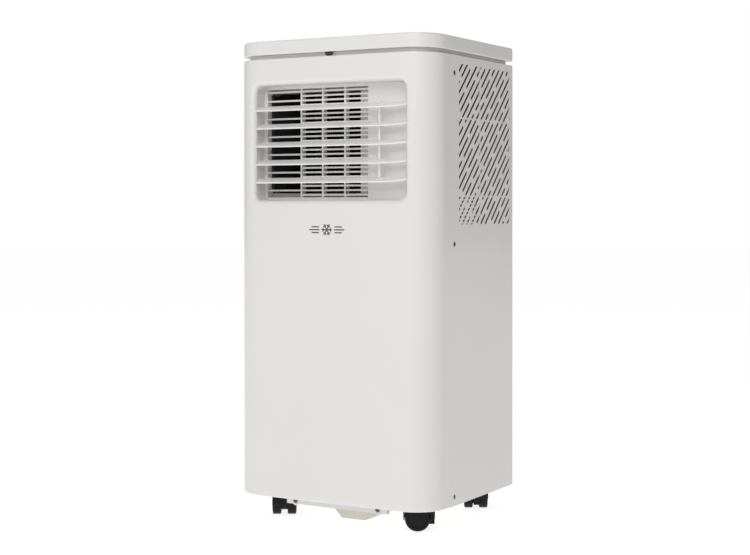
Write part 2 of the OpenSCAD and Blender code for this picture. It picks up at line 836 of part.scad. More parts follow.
module upper_scroll() color([0.13, 0.13, 0.14]) {
  difference() {
    translate([0, 0, tray_z + tray_t])
      linear_extrude(outlet_z1 + scroll_t - tray_z - tray_t) upper_outline();
    intersection() {
      translate([0, 0, outlet_z0]) linear_extrude(outlet_h) upper_cavity();
      box(-body_w, body_w, frame_back + scroll_t, body_d, 0, overall_h);
    }
    translate([0, 0, tray_z]) linear_extrude(outlet_z0 - scroll_t - tray_z) upper_cavity();
    upright(frame_back - over, scroll_t + 2 * over) translate([mouth_x0 + mouth_w / 2 + 2, outlet_z])
      round_rect(mouth_w - 14, outlet_h - 10, 8);
    rod_z(upper_x, upper_y, outlet_z1 - over, outlet_z1 + scroll_t + over, upper_blower_r - 8);
    rod_z(upper_x, upper_y, outlet_z0 - scroll_t - over, outlet_z0 + over, shaft_r + 8);
  }
}

module upper_cavity() {
  translate([upper_x, upper_y]) mirror([1, 0]) rotate(90) scroll_outline(upper_blower_r + 8 - scroll_t, 4);
  translate([mouth_x0 + 4 + scroll_t, frame_back + scroll_t])
    square([mouth_w - 4 - 2 * scroll_t, upper_y - frame_back - scroll_t]);
}

module upper_blower() color(dark_colour) translate([upper_x, upper_y, outlet_z0 + 5])
  squirrel_cage(upper_blower_r, outlet_h - 12, 20);

module upper_motor() color(steel_colour) {
  rod_z(upper_x, upper_y, tray_z + tray_t, outlet_z0 - scroll_t - 6, upper_motor_r);
  rod_z(upper_x, upper_y, tray_z + tray_t, outlet_z0 + 22, shaft_r);
}

// ---------------------------------------------------------------- hot side

module base_pan() color(pan_colour) difference() {
  union() {
    slab(pan_z, pan_z + pan_h, pan_inset);
    box(-strip_w / 2, strip_w / 2, strip_y + strip_t, strip_y + strip_t + pan_t, strip_z, pan_z + over);
    for (c = CASTERS) rod_z(c[0], c[1], pan_z, socket_top, stem_r + socket_wall);
  }
  difference() {
    slab(pan_z + pan_t, pan_z + pan_h + over, pan_inset + pan_t);
    for (c = CASTERS) rod_z(c[0], c[1], pan_z, socket_top, stem_r + socket_wall);
  }
  sump_block(sump_t);
  for (c = CASTERS) rod_z(c[0], c[1], pan_z - over, socket_top - 1.5, stem_r + run_gap);
  for (side = [-1, 1])
    rod_y(side * strip_screw_x, strip_y, strip_y + strip_t + pan_t + over, tab_z, screw_r);
  for (side = [-1, 1])
    rod_x(side * side_x - 12, side * side_x + 12, side_screw_y, SIDE_SCREW_Z[0], screw_r);
}

// Sump hung under the pan, with the drain spigot behind a shoulder that stops the hose
module drain_sump() color(pan_colour) difference() {
  union() {
    intersection() {
      sump_block(0);
      box(-side_x, side_x, front_y, rear_y, 0, pan_z);
    }
    rod_y(sump_x, sump_y1 - 30, drain_end - drain_len, drain_z, drain_r + 1.5);
    rod_y(sump_x, sump_y1 - 30, drain_end, drain_z, drain_r);
  }
  sump_block(sump_t);
  rod_y(sump_x, sump_y1 - 40, drain_end + over, drain_z, drain_bore);
}

drain_bore = drain_r - 2;

// Sump with four sloping sides, moved in from its faces by inset
module sump_block(inset) {
  top = pan_z + (inset > 0 ? pan_t + over : over);
  half = sump_w / 2 - inset;
  foot = sump_foot_w / 2 - inset;
  intersection() {
    upright(sump_y0, sump_y1 - sump_y0) polygon([
      [sump_x - foot, sump_z + inset], [sump_x + foot, sump_z + inset],
      [sump_x + half, pan_z], [sump_x + half, top], [sump_x - half, top], [sump_x - half, pan_z]]);
    translate([sump_x - half, 0, 0]) rotate([90, 0, 90]) linear_extrude(2 * half) polygon([
      [sump_y0 + sump_foot + inset, sump_z + inset], [sump_y1 - sump_foot - inset, sump_z + inset],
      [sump_y1 - inset, pan_z], [sump_y1 - inset, top], [sump_y0 + inset, top], [sump_y0 + inset, pan_z]]);
  }
}

module drain_plug() color([0.25, 0.25, 0.26]) {
  rod_y(sump_x, drain_end - plug_len, drain_end, drain_z, drain_bore - run_gap);
  rod_y(sump_x, drain_end, drain_end + 3, drain_z, drain_r - 0.3);
}

module condenser() color([0.66, 0.67, 0.68]) translate([cond_x, cond_y, socket_top]) coil(cond_w, cond_h);

module lower_outline(inset) {
  duct_w = exhaust_r + 7 - inset;
  translate([hot_x, hot_z]) mirror([1, 0]) scroll_outline(lower_blower_r + 8 - inset, 5);
  translate([hot_x - duct_w, hot_z]) square([2 * duct_w, exhaust_z + duct_w - hot_z]);
}

module lower_scroll() color([0.13, 0.13, 0.14]) {
  duct_back = rear_y - pocket_d - wall - duct_gap;
  duct_z0 = exhaust_z - exhaust_r - 7;
  difference() {
    union() {
      upright(hot_y0, hot_d) lower_outline(0);
      box(hot_x - exhaust_r - 7, hot_x + exhaust_r + 7, hot_y0, duct_back,
        duct_z0, exhaust_z + exhaust_r + 7);
    }
    upright(hot_y0 + scroll_t, hot_d - 2 * scroll_t) lower_outline(scroll_t);
    box(hot_x - exhaust_r - 5, hot_x + exhaust_r + 5, hot_y0 + scroll_t, duct_back - scroll_t,
      duct_z0 + scroll_t, exhaust_z + exhaust_r + 5);
    rod_y(hot_x, hot_y0 + hot_d - 2 * scroll_t, hot_y0 + hot_d + over, hot_z, lower_blower_r - 8);
    rod_y(hot_x, hot_y0 - over, hot_y0 + scroll_t + over, hot_z, shaft_r + 8);
    rod_y(exhaust_x, duct_back - 2 * scroll_t, duct_back + over, exhaust_z, exhaust_r + collar_t + 0.3);
  }
}

module lower_blower() color(dark_colour) translate([hot_x, hot_y0 + 7, hot_z]) rotate([-90, 0, 0])
  squirrel_cage(lower_blower_r, hot_d - 16, 20);

module lower_motor() color(steel_colour) {
  rod_y(hot_x, hot_y0 - 50, hot_y0, hot_z, 38);
  rod_y(hot_x, hot_y0 - 50, hot_y0 + 24, hot_z, shaft_r);
}

module compressor() color(dark_colour) {
  z0 = pan_z + pan_t + comp_foot_h;
  h = can_h;
  dome = 14;
  translate([comp_x, comp_y, z0]) {
    linear_extrude(foot_t) foot_plate();
    translate([0, 0, foot_t]) cylinder(h = dome, r1 = compressor_r - dome, r2 = compressor_r);
    translate([0, 0, foot_t + dome]) cylinder(h = h - 2 * dome, r = compressor_r);
    translate([0, 0, foot_t + h - dome]) cylinder(h = dome, r1 = compressor_r, r2 = compressor_r - dome);
    translate([0, 0, foot_t + h]) cylinder(h = 8, r = 9);
  }
}

// Mounting plate under the can: a disc with three ears
module foot_plate() {
  circle(compressor_r - 14);
  for (turn = [90, 210, 330]) rotate(turn) {
    translate([0, -8]) square([foot_ring, 16]);
    translate([foot_ring, 0]) circle(10);
  }
}

module compressor_feet() color([0.12, 0.12, 0.12]) translate([comp_x, comp_y, pan_z + pan_t])
  for (turn = [90, 210, 330]) rotate(turn) translate([foot_ring, 0, 0]) rotate_extrude() {
    square([9, comp_foot_h]);
    translate([0, comp_foot_h / 2 - 2]) square([7, 4]);
  }

acc_x = comp_x - compressor_r - 22;
acc_y = comp_y - 12;
acc_r = 19;
acc_z0 = pan_z + 52;
acc_z1 = pan_z + 162;

module accumulator() color(dark_colour) {
  rod_z(acc_x, acc_y, acc_z0, acc_z1, acc_r);
  rod_z(acc_x, acc_y, acc_z0 - 8, acc_z1 + 8, 8);
  box(acc_x + acc_r - 3, comp_x - compressor_r + 2.5, acc_y + 6, acc_y + 18, acc_z0 + 40, acc_z0 + 60);
}

module discharge_pipe() color(copper_colour) pipe([
  [comp_x, comp_y, comp_top - bond], [comp_x, comp_y, comp_top + 40],
  [comp_x, cond_y + 14, comp_top + 40], [comp_x, cond_y + 14, pan_z + 150],
  [cond_x + cond_w - bond, cond_y + 14, pan_z + 150]], 4);

module suction_pipe() color(copper_colour) pipe([
  [acc_x, acc_y, acc_z1 + 8 - bond], [acc_x, acc_y, tray_z - 25], [RISERS[0][0], acc_y, tray_z - 25],
  [RISERS[0][0], acc_y, tray_z + 60], [RISERS[0][0], evap_y + 9, tray_z + 60],
  [evap_w / 2 - bond, evap_y + 9, tray_z + 60]], 4.5);

module capillary() color(copper_colour) {
  x = RISERS[1][0];
  y = RISERS[1][1];
  pipe([[cond_x + cond_w - bond, cond_y + 20, pan_z + 34], [x, cond_y + 20, pan_z + 34],
    [x, y, pan_z + 34], [x, y, tray_z + 34], [x, evap_y + 20, tray_z + 34],
    [evap_w / 2 - bond, evap_y + 20, tray_z + 34]], 1.6);
  translate([x - 12, y, pan_z + 130]) rotate_extrude() translate([12, 0]) round_rect(5, 16, 2);
}

comp_top = pan_z + pan_t + comp_foot_h + foot_t + can_h + 8;

module exhaust_collar() color(shell_colour) {
  y0 = collar_out - collar_len;
  floor_y = rear_y - pocket_d;
  difference() {
    union() {
      rod_y(exhaust_x, y0, collar_out, exhaust_z, exhaust_r + collar_t);
      rod_y(exhaust_x, floor_y, floor_y + 2, exhaust_z, exhaust_r + collar_flange);
    }
    rod_y(exhaust_x, y0 - over, collar_out + over, exhaust_z, exhaust_r);
  }
  for (turn = [90, 210, 330]) translate([exhaust_x, collar_out - 5, exhaust_z]) rotate([0, turn, 0])
    translate([exhaust_r + collar_t - 0.5, 0, -6]) cube([3.5, 3, 12]);
}

module electrical_box() color([0.80, 0.80, 0.78]) {
  x0 = -side_x + pan_inset + 12;
  box(x0, x0 + 90, front_y + 22, front_y + 70, socket_top, pan_z + 130);
  for (i = [0:5])
    box(x0 + 12 + 12 * i, x0 + 15 + 12 * i, front_y + 70, front_y + 72, pan_z + 40, pan_z + 110);
}

module run_capacitor() color([0.75, 0.76, 0.78]) {
  x = -side_x + pan_inset + 12 + 45;
  y = front_y + 46;
  rod_z(x, y, pan_z + 130, pan_z + 196, 18);
  for (s = [-1, 1]) box(x + s * 8 - 2, x + s * 8 + 2, y - 0.5, y + 0.5, pan_z + 196, pan_z + 204);
}

module cable_gland() color([0.15, 0.15, 0.16]) difference() {
  union() {
    rod_y(cable_x, rear_y - wall - 5, rear_y, cable_z, cable_r + 4);
    rod_y(cable_x, rear_y - wall - 2, rear_y - wall, cable_z, cable_r + 7);
  }
  rod_y(cable_x, rear_y - wall - 6, rear_y + over, cable_z, cable_r);
}

// ---------------------------------------------------------------- fasteners and casters

module case_screws() color(steel_colour) {
  for (side = [-1, 1], z = SIDE_SCREW_Z) side_screw_at(side_screw_y, z, side);
  strip_screws();
}

module strip_screws() for (side = [-1, 1]) {
  x = side * strip_screw_x;
  difference() {
    rod_y(x, strip_y - screw_head_h, strip_y, tab_z, screw_head_r);
    for (turn = [0, 90]) translate([x, strip_y - screw_head_h, tab_z]) rotate([0, 45 + turn, 0])
      cube([0.8, 1.4, 3.6], center = true);
  }
  rod_y(x, strip_y, strip_y + strip_t + pan_t, tab_z, screw_r);
}

// Swivel part of a caster: stem, web that carries the axle, and a hood over both wheels
module caster(place) color(dark_colour) translate([place[0], place[1], 0]) rotate(place[2]) {
  pair_w = web_w + 2 * shake + 2 * wheel_w;
  nose = trail + 7.8;
  difference() {
    union() {
      rod_x(-web_w / 2, web_w / 2, -trail, wheel_r, hood_r - hood_t - 7);
      intersection() {
        difference() {
          union() {
            rod_x(-pair_w / 2, pair_w / 2, -trail, wheel_r, hood_r);
            box(-pair_w / 2, pair_w / 2, -trail, nose, wheel_r, caster_h);
          }
          rod_x(-pair_w, pair_w, -trail, wheel_r, wheel_r + hood_gap);
        }
        box(-pair_w, pair_w, -body_d, body_d, wheel_r - 2, caster_h);
      }
      box(-web_w / 2, web_w / 2, -trail, nose, 8, caster_h - hood_t);
      rod_z(0, 0, caster_h - 1, caster_h + stem_h, stem_r);
    }
    rod_x(-pair_w, pair_w, -trail, wheel_r, axle_r + run_gap);
  }
}

axle_r = 2.5;

// Two wheels on one axle, each with a rounded tread and a dished hub
module wheels(place) color([0.06, 0.06, 0.07]) translate([place[0], place[1], 0]) rotate(place[2])
  translate([0, -trail, wheel_r]) rotate([0, 90, 0]) {
    translate([0, 0, -web_w / 2 - shake - 2]) cylinder(h = web_w + 2 * shake + 4, r = axle_r);
    for (side = [0, 1]) mirror([0, 0, side]) translate([0, 0, web_w / 2 + shake]) wheel();
  }

module wheel() {
  tread_r = 2.5;
  difference() {
    rotate_extrude() intersection() {
      union() {
        translate([0, tread_r]) square([wheel_r, wheel_w - 2 * tread_r]);
        square([wheel_r - tread_r, wheel_w]);
        for (z = [tread_r, wheel_w - tread_r]) translate([wheel_r - tread_r, z]) circle(tread_r);
      }
      square([wheel_r, wheel_w]);
    }
    translate([0, 0, wheel_w - 1.5]) difference() {
      cylinder(h = 2 * over + 1, r = wheel_r - 4.5);
      translate([0, 0, -over]) cylinder(h = 4 * over, r = 4);
    }
  }
}

module caster_front_left() caster(CASTERS[0]);
module caster_front_right() caster(CASTERS[1]);
module caster_rear_right() caster(CASTERS[2]);
module caster_rear_left() caster(CASTERS[3]);
module wheels_front_left() wheels(CASTERS[0]);
module wheels_front_right() wheels(CASTERS[1]);
module wheels_rear_right() wheels(CASTERS[2]);
module wheels_rear_left() wheels(CASTERS[3]);

// ---------------------------------------------------------------- what is drawn

front_shell();
rear_shell();
side_grille_right();
side_grille_left();
filter_door();
filter_mesh();
top_cover();
top_collar();
outlet_frame();
outlet_guard();
louvre_blade_1();
louvre_blade_2();
louvre_blade_3();
louvre_blade_4();
louvre_blade_5();
louvre_link();
swing_motor();
control_panel();
display_window();
power_button();
mode_button();
fan_button();
timer_button();
warmer_button();
cooler_button();
control_board();
remote_receiver();
front_emblem();
evaporator();
drip_tray();
upper_scroll();
upper_blower();
upper_motor();
condenser();
lower_scroll();
lower_blower();
lower_motor();
compressor();
accumulator();
compressor_feet();
discharge_pipe();
suction_pipe();
capillary();
base_pan();
exhaust_collar();
drain_plug();
electrical_box();
run_capacitor();
cable_gland();
case_screws();
foot_strip();
drain_sump();
caster_front_left();
caster_front_right();
caster_rear_right();
caster_rear_left();
wheels_front_left();
wheels_front_right();
wheels_rear_right();
wheels_rear_left();
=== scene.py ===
import json
import math

import bmesh
import bpy
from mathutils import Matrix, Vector
import numpy as np

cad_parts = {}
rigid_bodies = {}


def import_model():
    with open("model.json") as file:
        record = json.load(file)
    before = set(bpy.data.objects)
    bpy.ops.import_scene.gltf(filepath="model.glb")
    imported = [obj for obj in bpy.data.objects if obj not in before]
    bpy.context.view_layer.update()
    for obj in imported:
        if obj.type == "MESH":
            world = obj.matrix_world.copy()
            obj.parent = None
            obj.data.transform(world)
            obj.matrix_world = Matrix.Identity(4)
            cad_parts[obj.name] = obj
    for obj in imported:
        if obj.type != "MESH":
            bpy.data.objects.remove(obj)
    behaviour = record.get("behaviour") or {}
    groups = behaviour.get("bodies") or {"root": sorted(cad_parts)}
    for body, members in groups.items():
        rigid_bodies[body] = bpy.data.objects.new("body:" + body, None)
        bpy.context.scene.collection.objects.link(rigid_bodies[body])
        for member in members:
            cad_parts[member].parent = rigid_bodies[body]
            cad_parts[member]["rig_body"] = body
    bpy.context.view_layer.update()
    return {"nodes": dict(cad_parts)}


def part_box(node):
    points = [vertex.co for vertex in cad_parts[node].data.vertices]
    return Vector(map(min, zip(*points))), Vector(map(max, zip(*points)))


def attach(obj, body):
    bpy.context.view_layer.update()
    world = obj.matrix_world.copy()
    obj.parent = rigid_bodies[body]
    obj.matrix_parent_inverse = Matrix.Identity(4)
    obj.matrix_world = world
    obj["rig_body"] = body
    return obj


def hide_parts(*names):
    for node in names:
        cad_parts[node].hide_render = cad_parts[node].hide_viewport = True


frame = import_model()
NODES = frame["nodes"]
MM = 0.001

# ------------------------------------------------------------------ sizes, in millimetres


def box_mm(node):
    """Lowest and highest corner of a CAD node, in millimetres."""
    low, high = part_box(node)
    return np.array(low) / MM, np.array(high) / MM


# From the frame: the cabinet's half width, back, seam, foot and top, the lid, and the mouth's height
REAR_LOW, REAR_HIGH = box_mm("rear_shell")
HALF_W = REAR_HIGH[0]
REAR_Y = REAR_HIGH[1]
SEAM_Y = REAR_LOW[1]
SKIRT_Z = REAR_LOW[2]
BODY_TOP = REAR_HIGH[2]
FRONT_Y = box_mm("front_shell")[0][1]
LID_LOW, LID_HIGH = box_mm("top_cover")
COLLAR_LOW, COLLAR_HIGH = box_mm("top_collar")
GRILLE_LOW, GRILLE_HIGH = box_mm("side_grille_right")
FRAME_LOW, FRAME_HIGH = box_mm("outlet_frame")
GUARD_Y = box_mm("outlet_guard")[0][1]

# The cabinet's round corners, wall, and the inward rim at the top of the shell and foot of the lid
FRONT_R = 46.0
REAR_R = 6.0
WALL = 2.5
RIM_T = 2.5
RIM_W = 12.5
COLLAR_INSET = 9.0
LOUVRE_SKIN = 0.8

# The air mouth, and the plain wall that closes its right end
MOUTH_HALF_W = 123.5
MOUTH_R = 12.0
MOUTH_T = 2.5
MOUTH_Z0 = FRAME_LOW[2] + MOUTH_T
MOUTH_Z1 = FRAME_HIGH[2] - MOUTH_T
MOUTH_BACK = -93.0
TUNNEL_Y = -110.0
WALL_X0 = 50.5

# ------------------------------------------------------------------ mesh tools


def add_mesh(name, verts, faces, material, smooth=True):
    """A mesh object at the origin from points in millimetres and a list or array of faces."""
    mesh = bpy.data.meshes.new(name)
    if isinstance(faces, np.ndarray):
        faces = faces.tolist()
    mesh.from_pydata(np.asarray(verts, float) * MM, [], faces)
    mesh.polygons.foreach_set("use_smooth", np.full(len(mesh.polygons), smooth))
    mesh.update()
    obj = bpy.data.objects.new(name, mesh)
    bpy.context.scene.collection.objects.link(obj)
    mesh.materials.append(material)
    return obj


def outwards(obj):
    """Turns a closed mesh's faces outwards."""
    work = bmesh.new()
    work.from_mesh(obj.data)
    bmesh.ops.recalc_face_normals(work, faces=work.faces)
    work.to_mesh(obj.data)
    work.free()


def grid_faces(rows, cols, close_rows, close_cols):
    """Quads of a grid of rows by cols points, joined up to itself where a direction closes."""
    i = np.arange(rows if close_rows else rows - 1)[:, None]
    j = np.arange(cols if close_cols else cols - 1)[None, :]
    i2, j2 = (i + 1) % rows, (j + 1) % cols
    return np.stack([i * cols + j, i * cols + j2, i2 * cols + j2, i2 * cols + j], -1).reshape(-1, 4)


def ring_piece(name, rows, material):
    """A closed ring skin: rows of matched closed loops, each (count, 3), the last joined to the first."""
    points = np.stack(rows)
    faces = grid_faces(points.shape[0], points.shape[1], True, True)
    obj = add_mesh(name, points.reshape(-1, 3), faces, material)
    outwards(obj)
    return obj


def join_islands(islands):
    """One list of points and faces from several (points, faces) islands."""
    verts, faces, base = [], [], 0
    for points, quads in islands:
        verts.append(np.asarray(points, float).reshape(-1, 3))
        faces.extend([[int(k) + base for k in f] for f in quads])
        base += len(verts[-1])
    return np.vstack(verts), faces


def tube_island(rows):
    """A skin through matched closed loops from first to last, with a flat cap at both ends."""
    points = np.stack(rows)
    n, m = points.shape[0], points.shape[1]
    faces = grid_faces(n, m, False, True).tolist()
    faces.append(list(range(m))[::-1])
    faces.append(list(range((n - 1) * m, n * m)))
    return points.reshape(-1, 3), faces


def circle_loop(r, count):
    """Points of a circle about the origin: (count, 2)."""
    a = np.linspace(0, 2 * np.pi, count, endpoint=False)
    return np.stack([r * np.cos(a), r * np.sin(a)], -1)


def place(loop, axis, at, offset=(0, 0)):
    """A flat loop stood across an axis (0, 1 or 2) at a height along it."""
    u, v = loop[:, 0] + offset[0], loop[:, 1] + offset[1]
    w = np.full(len(loop), float(at))
    return np.stack({0: (w, u, v), 1: (u, w, v), 2: (u, v, w)}[axis], -1)


def round_loop(x0, x1, y0, y1, radii, side=24, arc=8):
    """Closed loop of four straight sides and four quarter arcs, anticlockwise from the low corner's arc."""
    centres = [
        (x0 + radii[0], y0 + radii[0]), (x1 - radii[1], y0 + radii[1]),
        (x1 - radii[2], y1 - radii[2]), (x0 + radii[3], y1 - radii[3]),
    ]
    arcs = []
    for k, (cx, cy) in enumerate(centres):
        a = np.pi * (1 + k / 2) + np.linspace(0, np.pi / 2, arc + 1)
        arcs.append(np.stack([cx + radii[k] * np.cos(a), cy + radii[k] * np.sin(a)], -1))
    parts = []
    for k in range(4):
        t = np.linspace(0, 1, side + 1)[1:-1, None]
        parts += [arcs[k], arcs[k][-1] * (1 - t) + arcs[(k + 1) % 4][0] * t]
    return np.vstack(parts)


def finished(obj, body, slot, *nodes):
    """Rides a finished piece on its body and hides the CAD nodes it stands for. slot is not used."""
    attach(obj, body)
    if nodes:
        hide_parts(*nodes)
    return obj


def bevel(obj, width, steps=2, limit="ANGLE", angle=35):
    """Rounds the edges of a piece by width millimetres."""
    mod = obj.modifiers.new("soft edges", "BEVEL")
    mod.width = width * MM
    mod.segments = steps
    mod.limit_method = limit
    mod.angle_limit = math.radians(angle)
    mod.harden_normals = True
    mod.use_clamp_overlap = True
    mod.miter_outer = "MITER_ARC"
    return mod


MERGE_GAP = 0.002
FLAT_TURN = 0.6
SHARP_TURN = 30


def even_normals(obj):
    """Shades broad faces flat and leaves the turn of the light to the rounded edges."""
    mod = obj.modifiers.new("even normals", "WEIGHTED_NORMAL")
    mod.weight = 90
    mod.keep_sharp = True


def softened(name, node, material, slot, width=0.5, steps=2, keep=None, shift=(0, 0, 0), reshape=None):
    """The CAD node's own shape, merged, with its edges rounded. keep(a, b) picks edges, by their end
    points in millimetres, that stay as they are, and reshape moves the whole array of points."""
    mesh = NODES[node].data.copy()
    mesh.name = name
    work = bmesh.new()
    work.from_mesh(mesh)
    bmesh.ops.remove_doubles(work, verts=work.verts, dist=MERGE_GAP * MM)
    bmesh.ops.dissolve_limit(work, angle_limit=math.radians(FLAT_TURN), verts=work.verts, edges=work.edges)
    weight = work.edges.layers.float.new("bevel_weight_edge")
    limit = math.radians(SHARP_TURN)
    for face in work.faces:
        face.smooth = True
        face.material_index = 0
    for edge in work.edges:
        turn = edge.calc_face_angle(0.0)
        a, b = (np.array(v.co) / MM for v in edge.verts)
        if turn > limit:
            if keep is not None and keep(a, b):
                edge.smooth = False
            elif width > 0:
                edge[weight] = 1.0
            else:
                edge.smooth = False
    bmesh.ops.translate(work, verts=work.verts, vec=[c * MM for c in shift])
    work.to_mesh(mesh)
    work.free()
    if reshape is not None:
        points = np.empty(len(mesh.vertices) * 3, dtype=np.float32)
        mesh.vertices.foreach_get("co", points)
        moved = reshape(points.reshape(-1, 3) / MM) * MM
        mesh.vertices.foreach_set("co", moved.astype(np.float32).ravel())
        mesh.update()
    mesh.materials.clear()
    mesh.materials.append(material)
    obj = bpy.data.objects.new(name, mesh)
    bpy.context.scene.collection.objects.link(obj)
    if width > 0:
        bevel(obj, width, steps, "WEIGHT")
    even_normals(obj)
    finished(obj, NODES[node]["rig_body"], slot, node)
    return obj


# ------------------------------------------------------------------ finishes


class Finish:
    """A node material on Object coordinates: clouded colour, fine grain in bump and roughness."""

    def __init__(self, name, rough=0.4, metal=0.0, coat=0.0, coat_rough=0.1, specular=0.5):
        self.material = bpy.data.materials.new(name)
        self.material.use_nodes = True
        self.tree = self.material.node_tree
        self.shader = self.tree.nodes["Principled BSDF"]
        self.shader.inputs["Roughness"].default_value = rough
        self.shader.inputs["Metallic"].default_value = metal
        self.shader.inputs["Coat Weight"].default_value = coat
        self.shader.inputs["Coat Roughness"].default_value = coat_rough
        self.shader.inputs["Specular IOR Level"].default_value = specular
        self.coord = self.tree.nodes.new("ShaderNodeTexCoord")
        self.height = None

    def node(self, kind, **values):
        """A new node, with each value set on its socket or, where it has no such socket, on itself."""
        made = self.tree.nodes.new(kind)
        for key, value in values.items():
            if key in made.inputs:
                made.inputs[key].default_value = value
            else:
                setattr(made, key, value)
        return made

    def link(self, out, into):
        """Joins one socket to another."""
        self.tree.links.new(out, into)

    def stretched(self, scale):
        """Object coordinates stretched by scale along X, Y and Z."""
        mapping = self.node("ShaderNodeMapping")
        mapping.inputs["Scale"].default_value = scale
        self.link(self.coord.outputs["Object"], mapping.inputs["Vector"])
        return mapping.outputs["Vector"]

    def noise(self, scale, detail=2.0, rough=0.5, vector=None):
        """Cloudy noise, scale clouds to the metre, on Object coordinates or the vector given."""
        made = self.node("ShaderNodeTexNoise", Scale=scale, Detail=detail, Roughness=rough)
        self.link(vector or self.coord.outputs["Object"], made.inputs["Vector"])
        return made.outputs["Fac"]

    def ramp(self, source, stops):
        """A source from 0 to 1 turned into colours at the given stops."""
        made = self.node("ShaderNodeValToRGB")
        elements = made.color_ramp.elements
        while len(elements) < len(stops):
            elements.new(0.5)
        for element, (at, colour) in zip(elements, stops):
            element.position = at
            element.color = (*colour, 1)
        self.link(source, made.inputs["Fac"])
        return made.outputs["Color"]

    def mix(self, factor, a, b):
        """Two colours or sockets, blended by a number or a socket."""
        made = self.node("ShaderNodeMix", data_type="RGBA")
        if isinstance(factor, float):
            made.inputs["Factor"].default_value = factor
        else:
            self.link(factor, made.inputs["Factor"])
        for socket, value in ((made.inputs[6], a), (made.inputs[7], b)):
            if isinstance(value, tuple):
                socket.default_value = (*value, 1)
            else:
                self.link(value, socket)
        return made.outputs[2]

    def spread(self, source, low, high, from_low=0.3, from_high=0.7):
        """A source's middle part stretched to run from low to high."""
        made = self.node("ShaderNodeMapRange")
        made.inputs["From Min"].default_value = from_low
        made.inputs["From Max"].default_value = from_high
        made.inputs["To Min"].default_value = low
        made.inputs["To Max"].default_value = high
        self.link(source, made.inputs["Value"])
        return made.outputs["Result"]

    def colour(self, source):
        """Sends a colour to the shader."""
        self.link(source, self.shader.inputs["Base Color"])

    def roughness(self, source):
        """Sends a roughness to the shader."""
        self.link(source, self.shader.inputs["Roughness"])

    def bump(self, source, strength, depth_mm):
        """Adds a bump of the given depth on top of the ones before it."""
        made = self.node("ShaderNodeBump", Strength=strength, Distance=depth_mm * MM)
        self.link(source, made.inputs["Height"])
        if self.height is not None:
            self.link(self.height, made.inputs["Normal"])
        self.height = made.outputs["Normal"]
        self.link(self.height, self.shader.inputs["Normal"])


def cloudy(base, low, high):
    """Two tones of a colour, low and high times it."""
    return tuple(c * low for c in base), tuple(min(c * high, 1) for c in base)


def moulded(name, colour, rough=0.35, coat=0.0, grain_mm=0.5, grain=0.12, tone=0.03, coat_rough=0.12,
        specular=0.5):
    """Moulded plastic: tone drifts over a few centimetres, sink marks barely bend the light, and a fine
    grain breaks up the gloss."""
    f = Finish(name, rough, coat=coat, coat_rough=coat_rough, specular=specular)
    dark, light = cloudy(colour, 1 - tone, 1 + tone)
    f.colour(f.ramp(f.noise(7, 3), [(0.3, dark), (0.7, light)]))
    fine = f.noise(1 / (grain_mm * MM), 2)
    f.roughness(f.spread(fine, rough * 0.85, rough * 1.2))
    f.bump(f.noise(16, 1), 0.25, 0.35)
    f.bump(fine, grain, 0.05)
    return f.material


def rolled_metal(name, colour, rough=0.4, grain=(1, 1, 60), dull=0.6, metal=1.0):
    """Sheet or drawn metal: streaks along the rolling direction, and a dull bloom in patches."""
    f = Finish(name, rough, metal=metal)
    streak = f.noise(40, 4, 0.6, f.stretched(grain))
    bloom = f.noise(14, 4, 0.6)
    tone = f.ramp(bloom, [(0.35, tuple(c * dull for c in colour)), (0.65, colour)])
    f.colour(f.mix(0.25, tone, f.ramp(streak, [(0.3, tuple(c * 0.75 for c in colour)), (0.7, colour)])))
    f.roughness(f.spread(streak, rough * 0.8, rough * 1.4))
    f.bump(streak, 0.15, 0.06)
    return f.material


def rubbery(name, colour, rough=0.75):
    """Soft rubber: matt, with a powdery bloom and a pebbled skin."""
    f = Finish(name, rough, specular=0.35)
    f.colour(f.ramp(f.noise(60, 4), [(0.35, colour), (0.75, tuple(c * 1.6 + 0.01 for c in colour))]))
    f.roughness(f.spread(f.noise(900, 2), rough * 0.85, min(rough * 1.15, 1)))
    f.bump(f.noise(1400, 2), 0.3, 0.08)
    return f.material


def fin_stack(name):
    """Aluminium fins seen edge on: a light line every 1.6 mm across the coil, dented here and there, with
    painted shade in the dark bands between the lines.
    """
    f = Finish(name, 0.42, metal=0.9)
    wave = f.node("ShaderNodeTexWave", Scale=200.0, Distortion=0.6, Detail=1.0)
    wave.bands_direction = "X"
    wave.inputs["Detail Scale"].default_value = 0.3
    f.link(f.coord.outputs["Object"], wave.inputs["Vector"])
    dust = f.noise(30, 5, 0.65)
    # Painted shade: the dark bands between the fin edges stand in for the shade in the gaps between the fins;
    # the dust tone mixed over them is real.
    f.colour(f.mix(f.spread(dust, 0.0, 0.5), f.ramp(wave.outputs["Fac"], [(0.15, (0.06, 0.065, 0.07)),
        (0.7, (0.62, 0.64, 0.66))]), (0.34, 0.33, 0.31)))
    f.roughness(f.spread(dust, 0.3, 0.6))
    f.bump(wave.outputs["Fac"], 0.5, 0.4)
    return f.material


def circuit_board(name):
    """Green lacquered board: darker bare laminate between lighter copper areas."""
    f = Finish(name, 0.3, coat=0.4)
    cells = f.node("ShaderNodeTexVoronoi", Scale=260.0, distance="CHEBYCHEV")
    f.link(f.coord.outputs["Object"], cells.inputs["Vector"])
    f.colour(f.ramp(cells.outputs["Distance"], [(0.22, (0.02, 0.13, 0.06)), (0.3, (0.03, 0.2, 0.09))]))
    f.roughness(f.spread(f.noise(300, 2), 0.22, 0.4))
    f.bump(cells.outputs["Distance"], 0.2, 0.1)
    return f.material


def smoked_window(name):
    """Dark tinted window: deep black with a faint warm cast and a hard gloss."""
    f = Finish(name, 0.08, coat=1.0, coat_rough=0.03)
    f.colour(f.ramp(f.noise(22, 2), [(0.3, (0.006, 0.006, 0.007)), (0.7, (0.012, 0.011, 0.012))]))
    f.roughness(f.spread(f.noise(500, 2), 0.05, 0.13))
    f.bump(f.noise(40, 1), 0.1, 0.05)
    return f.material


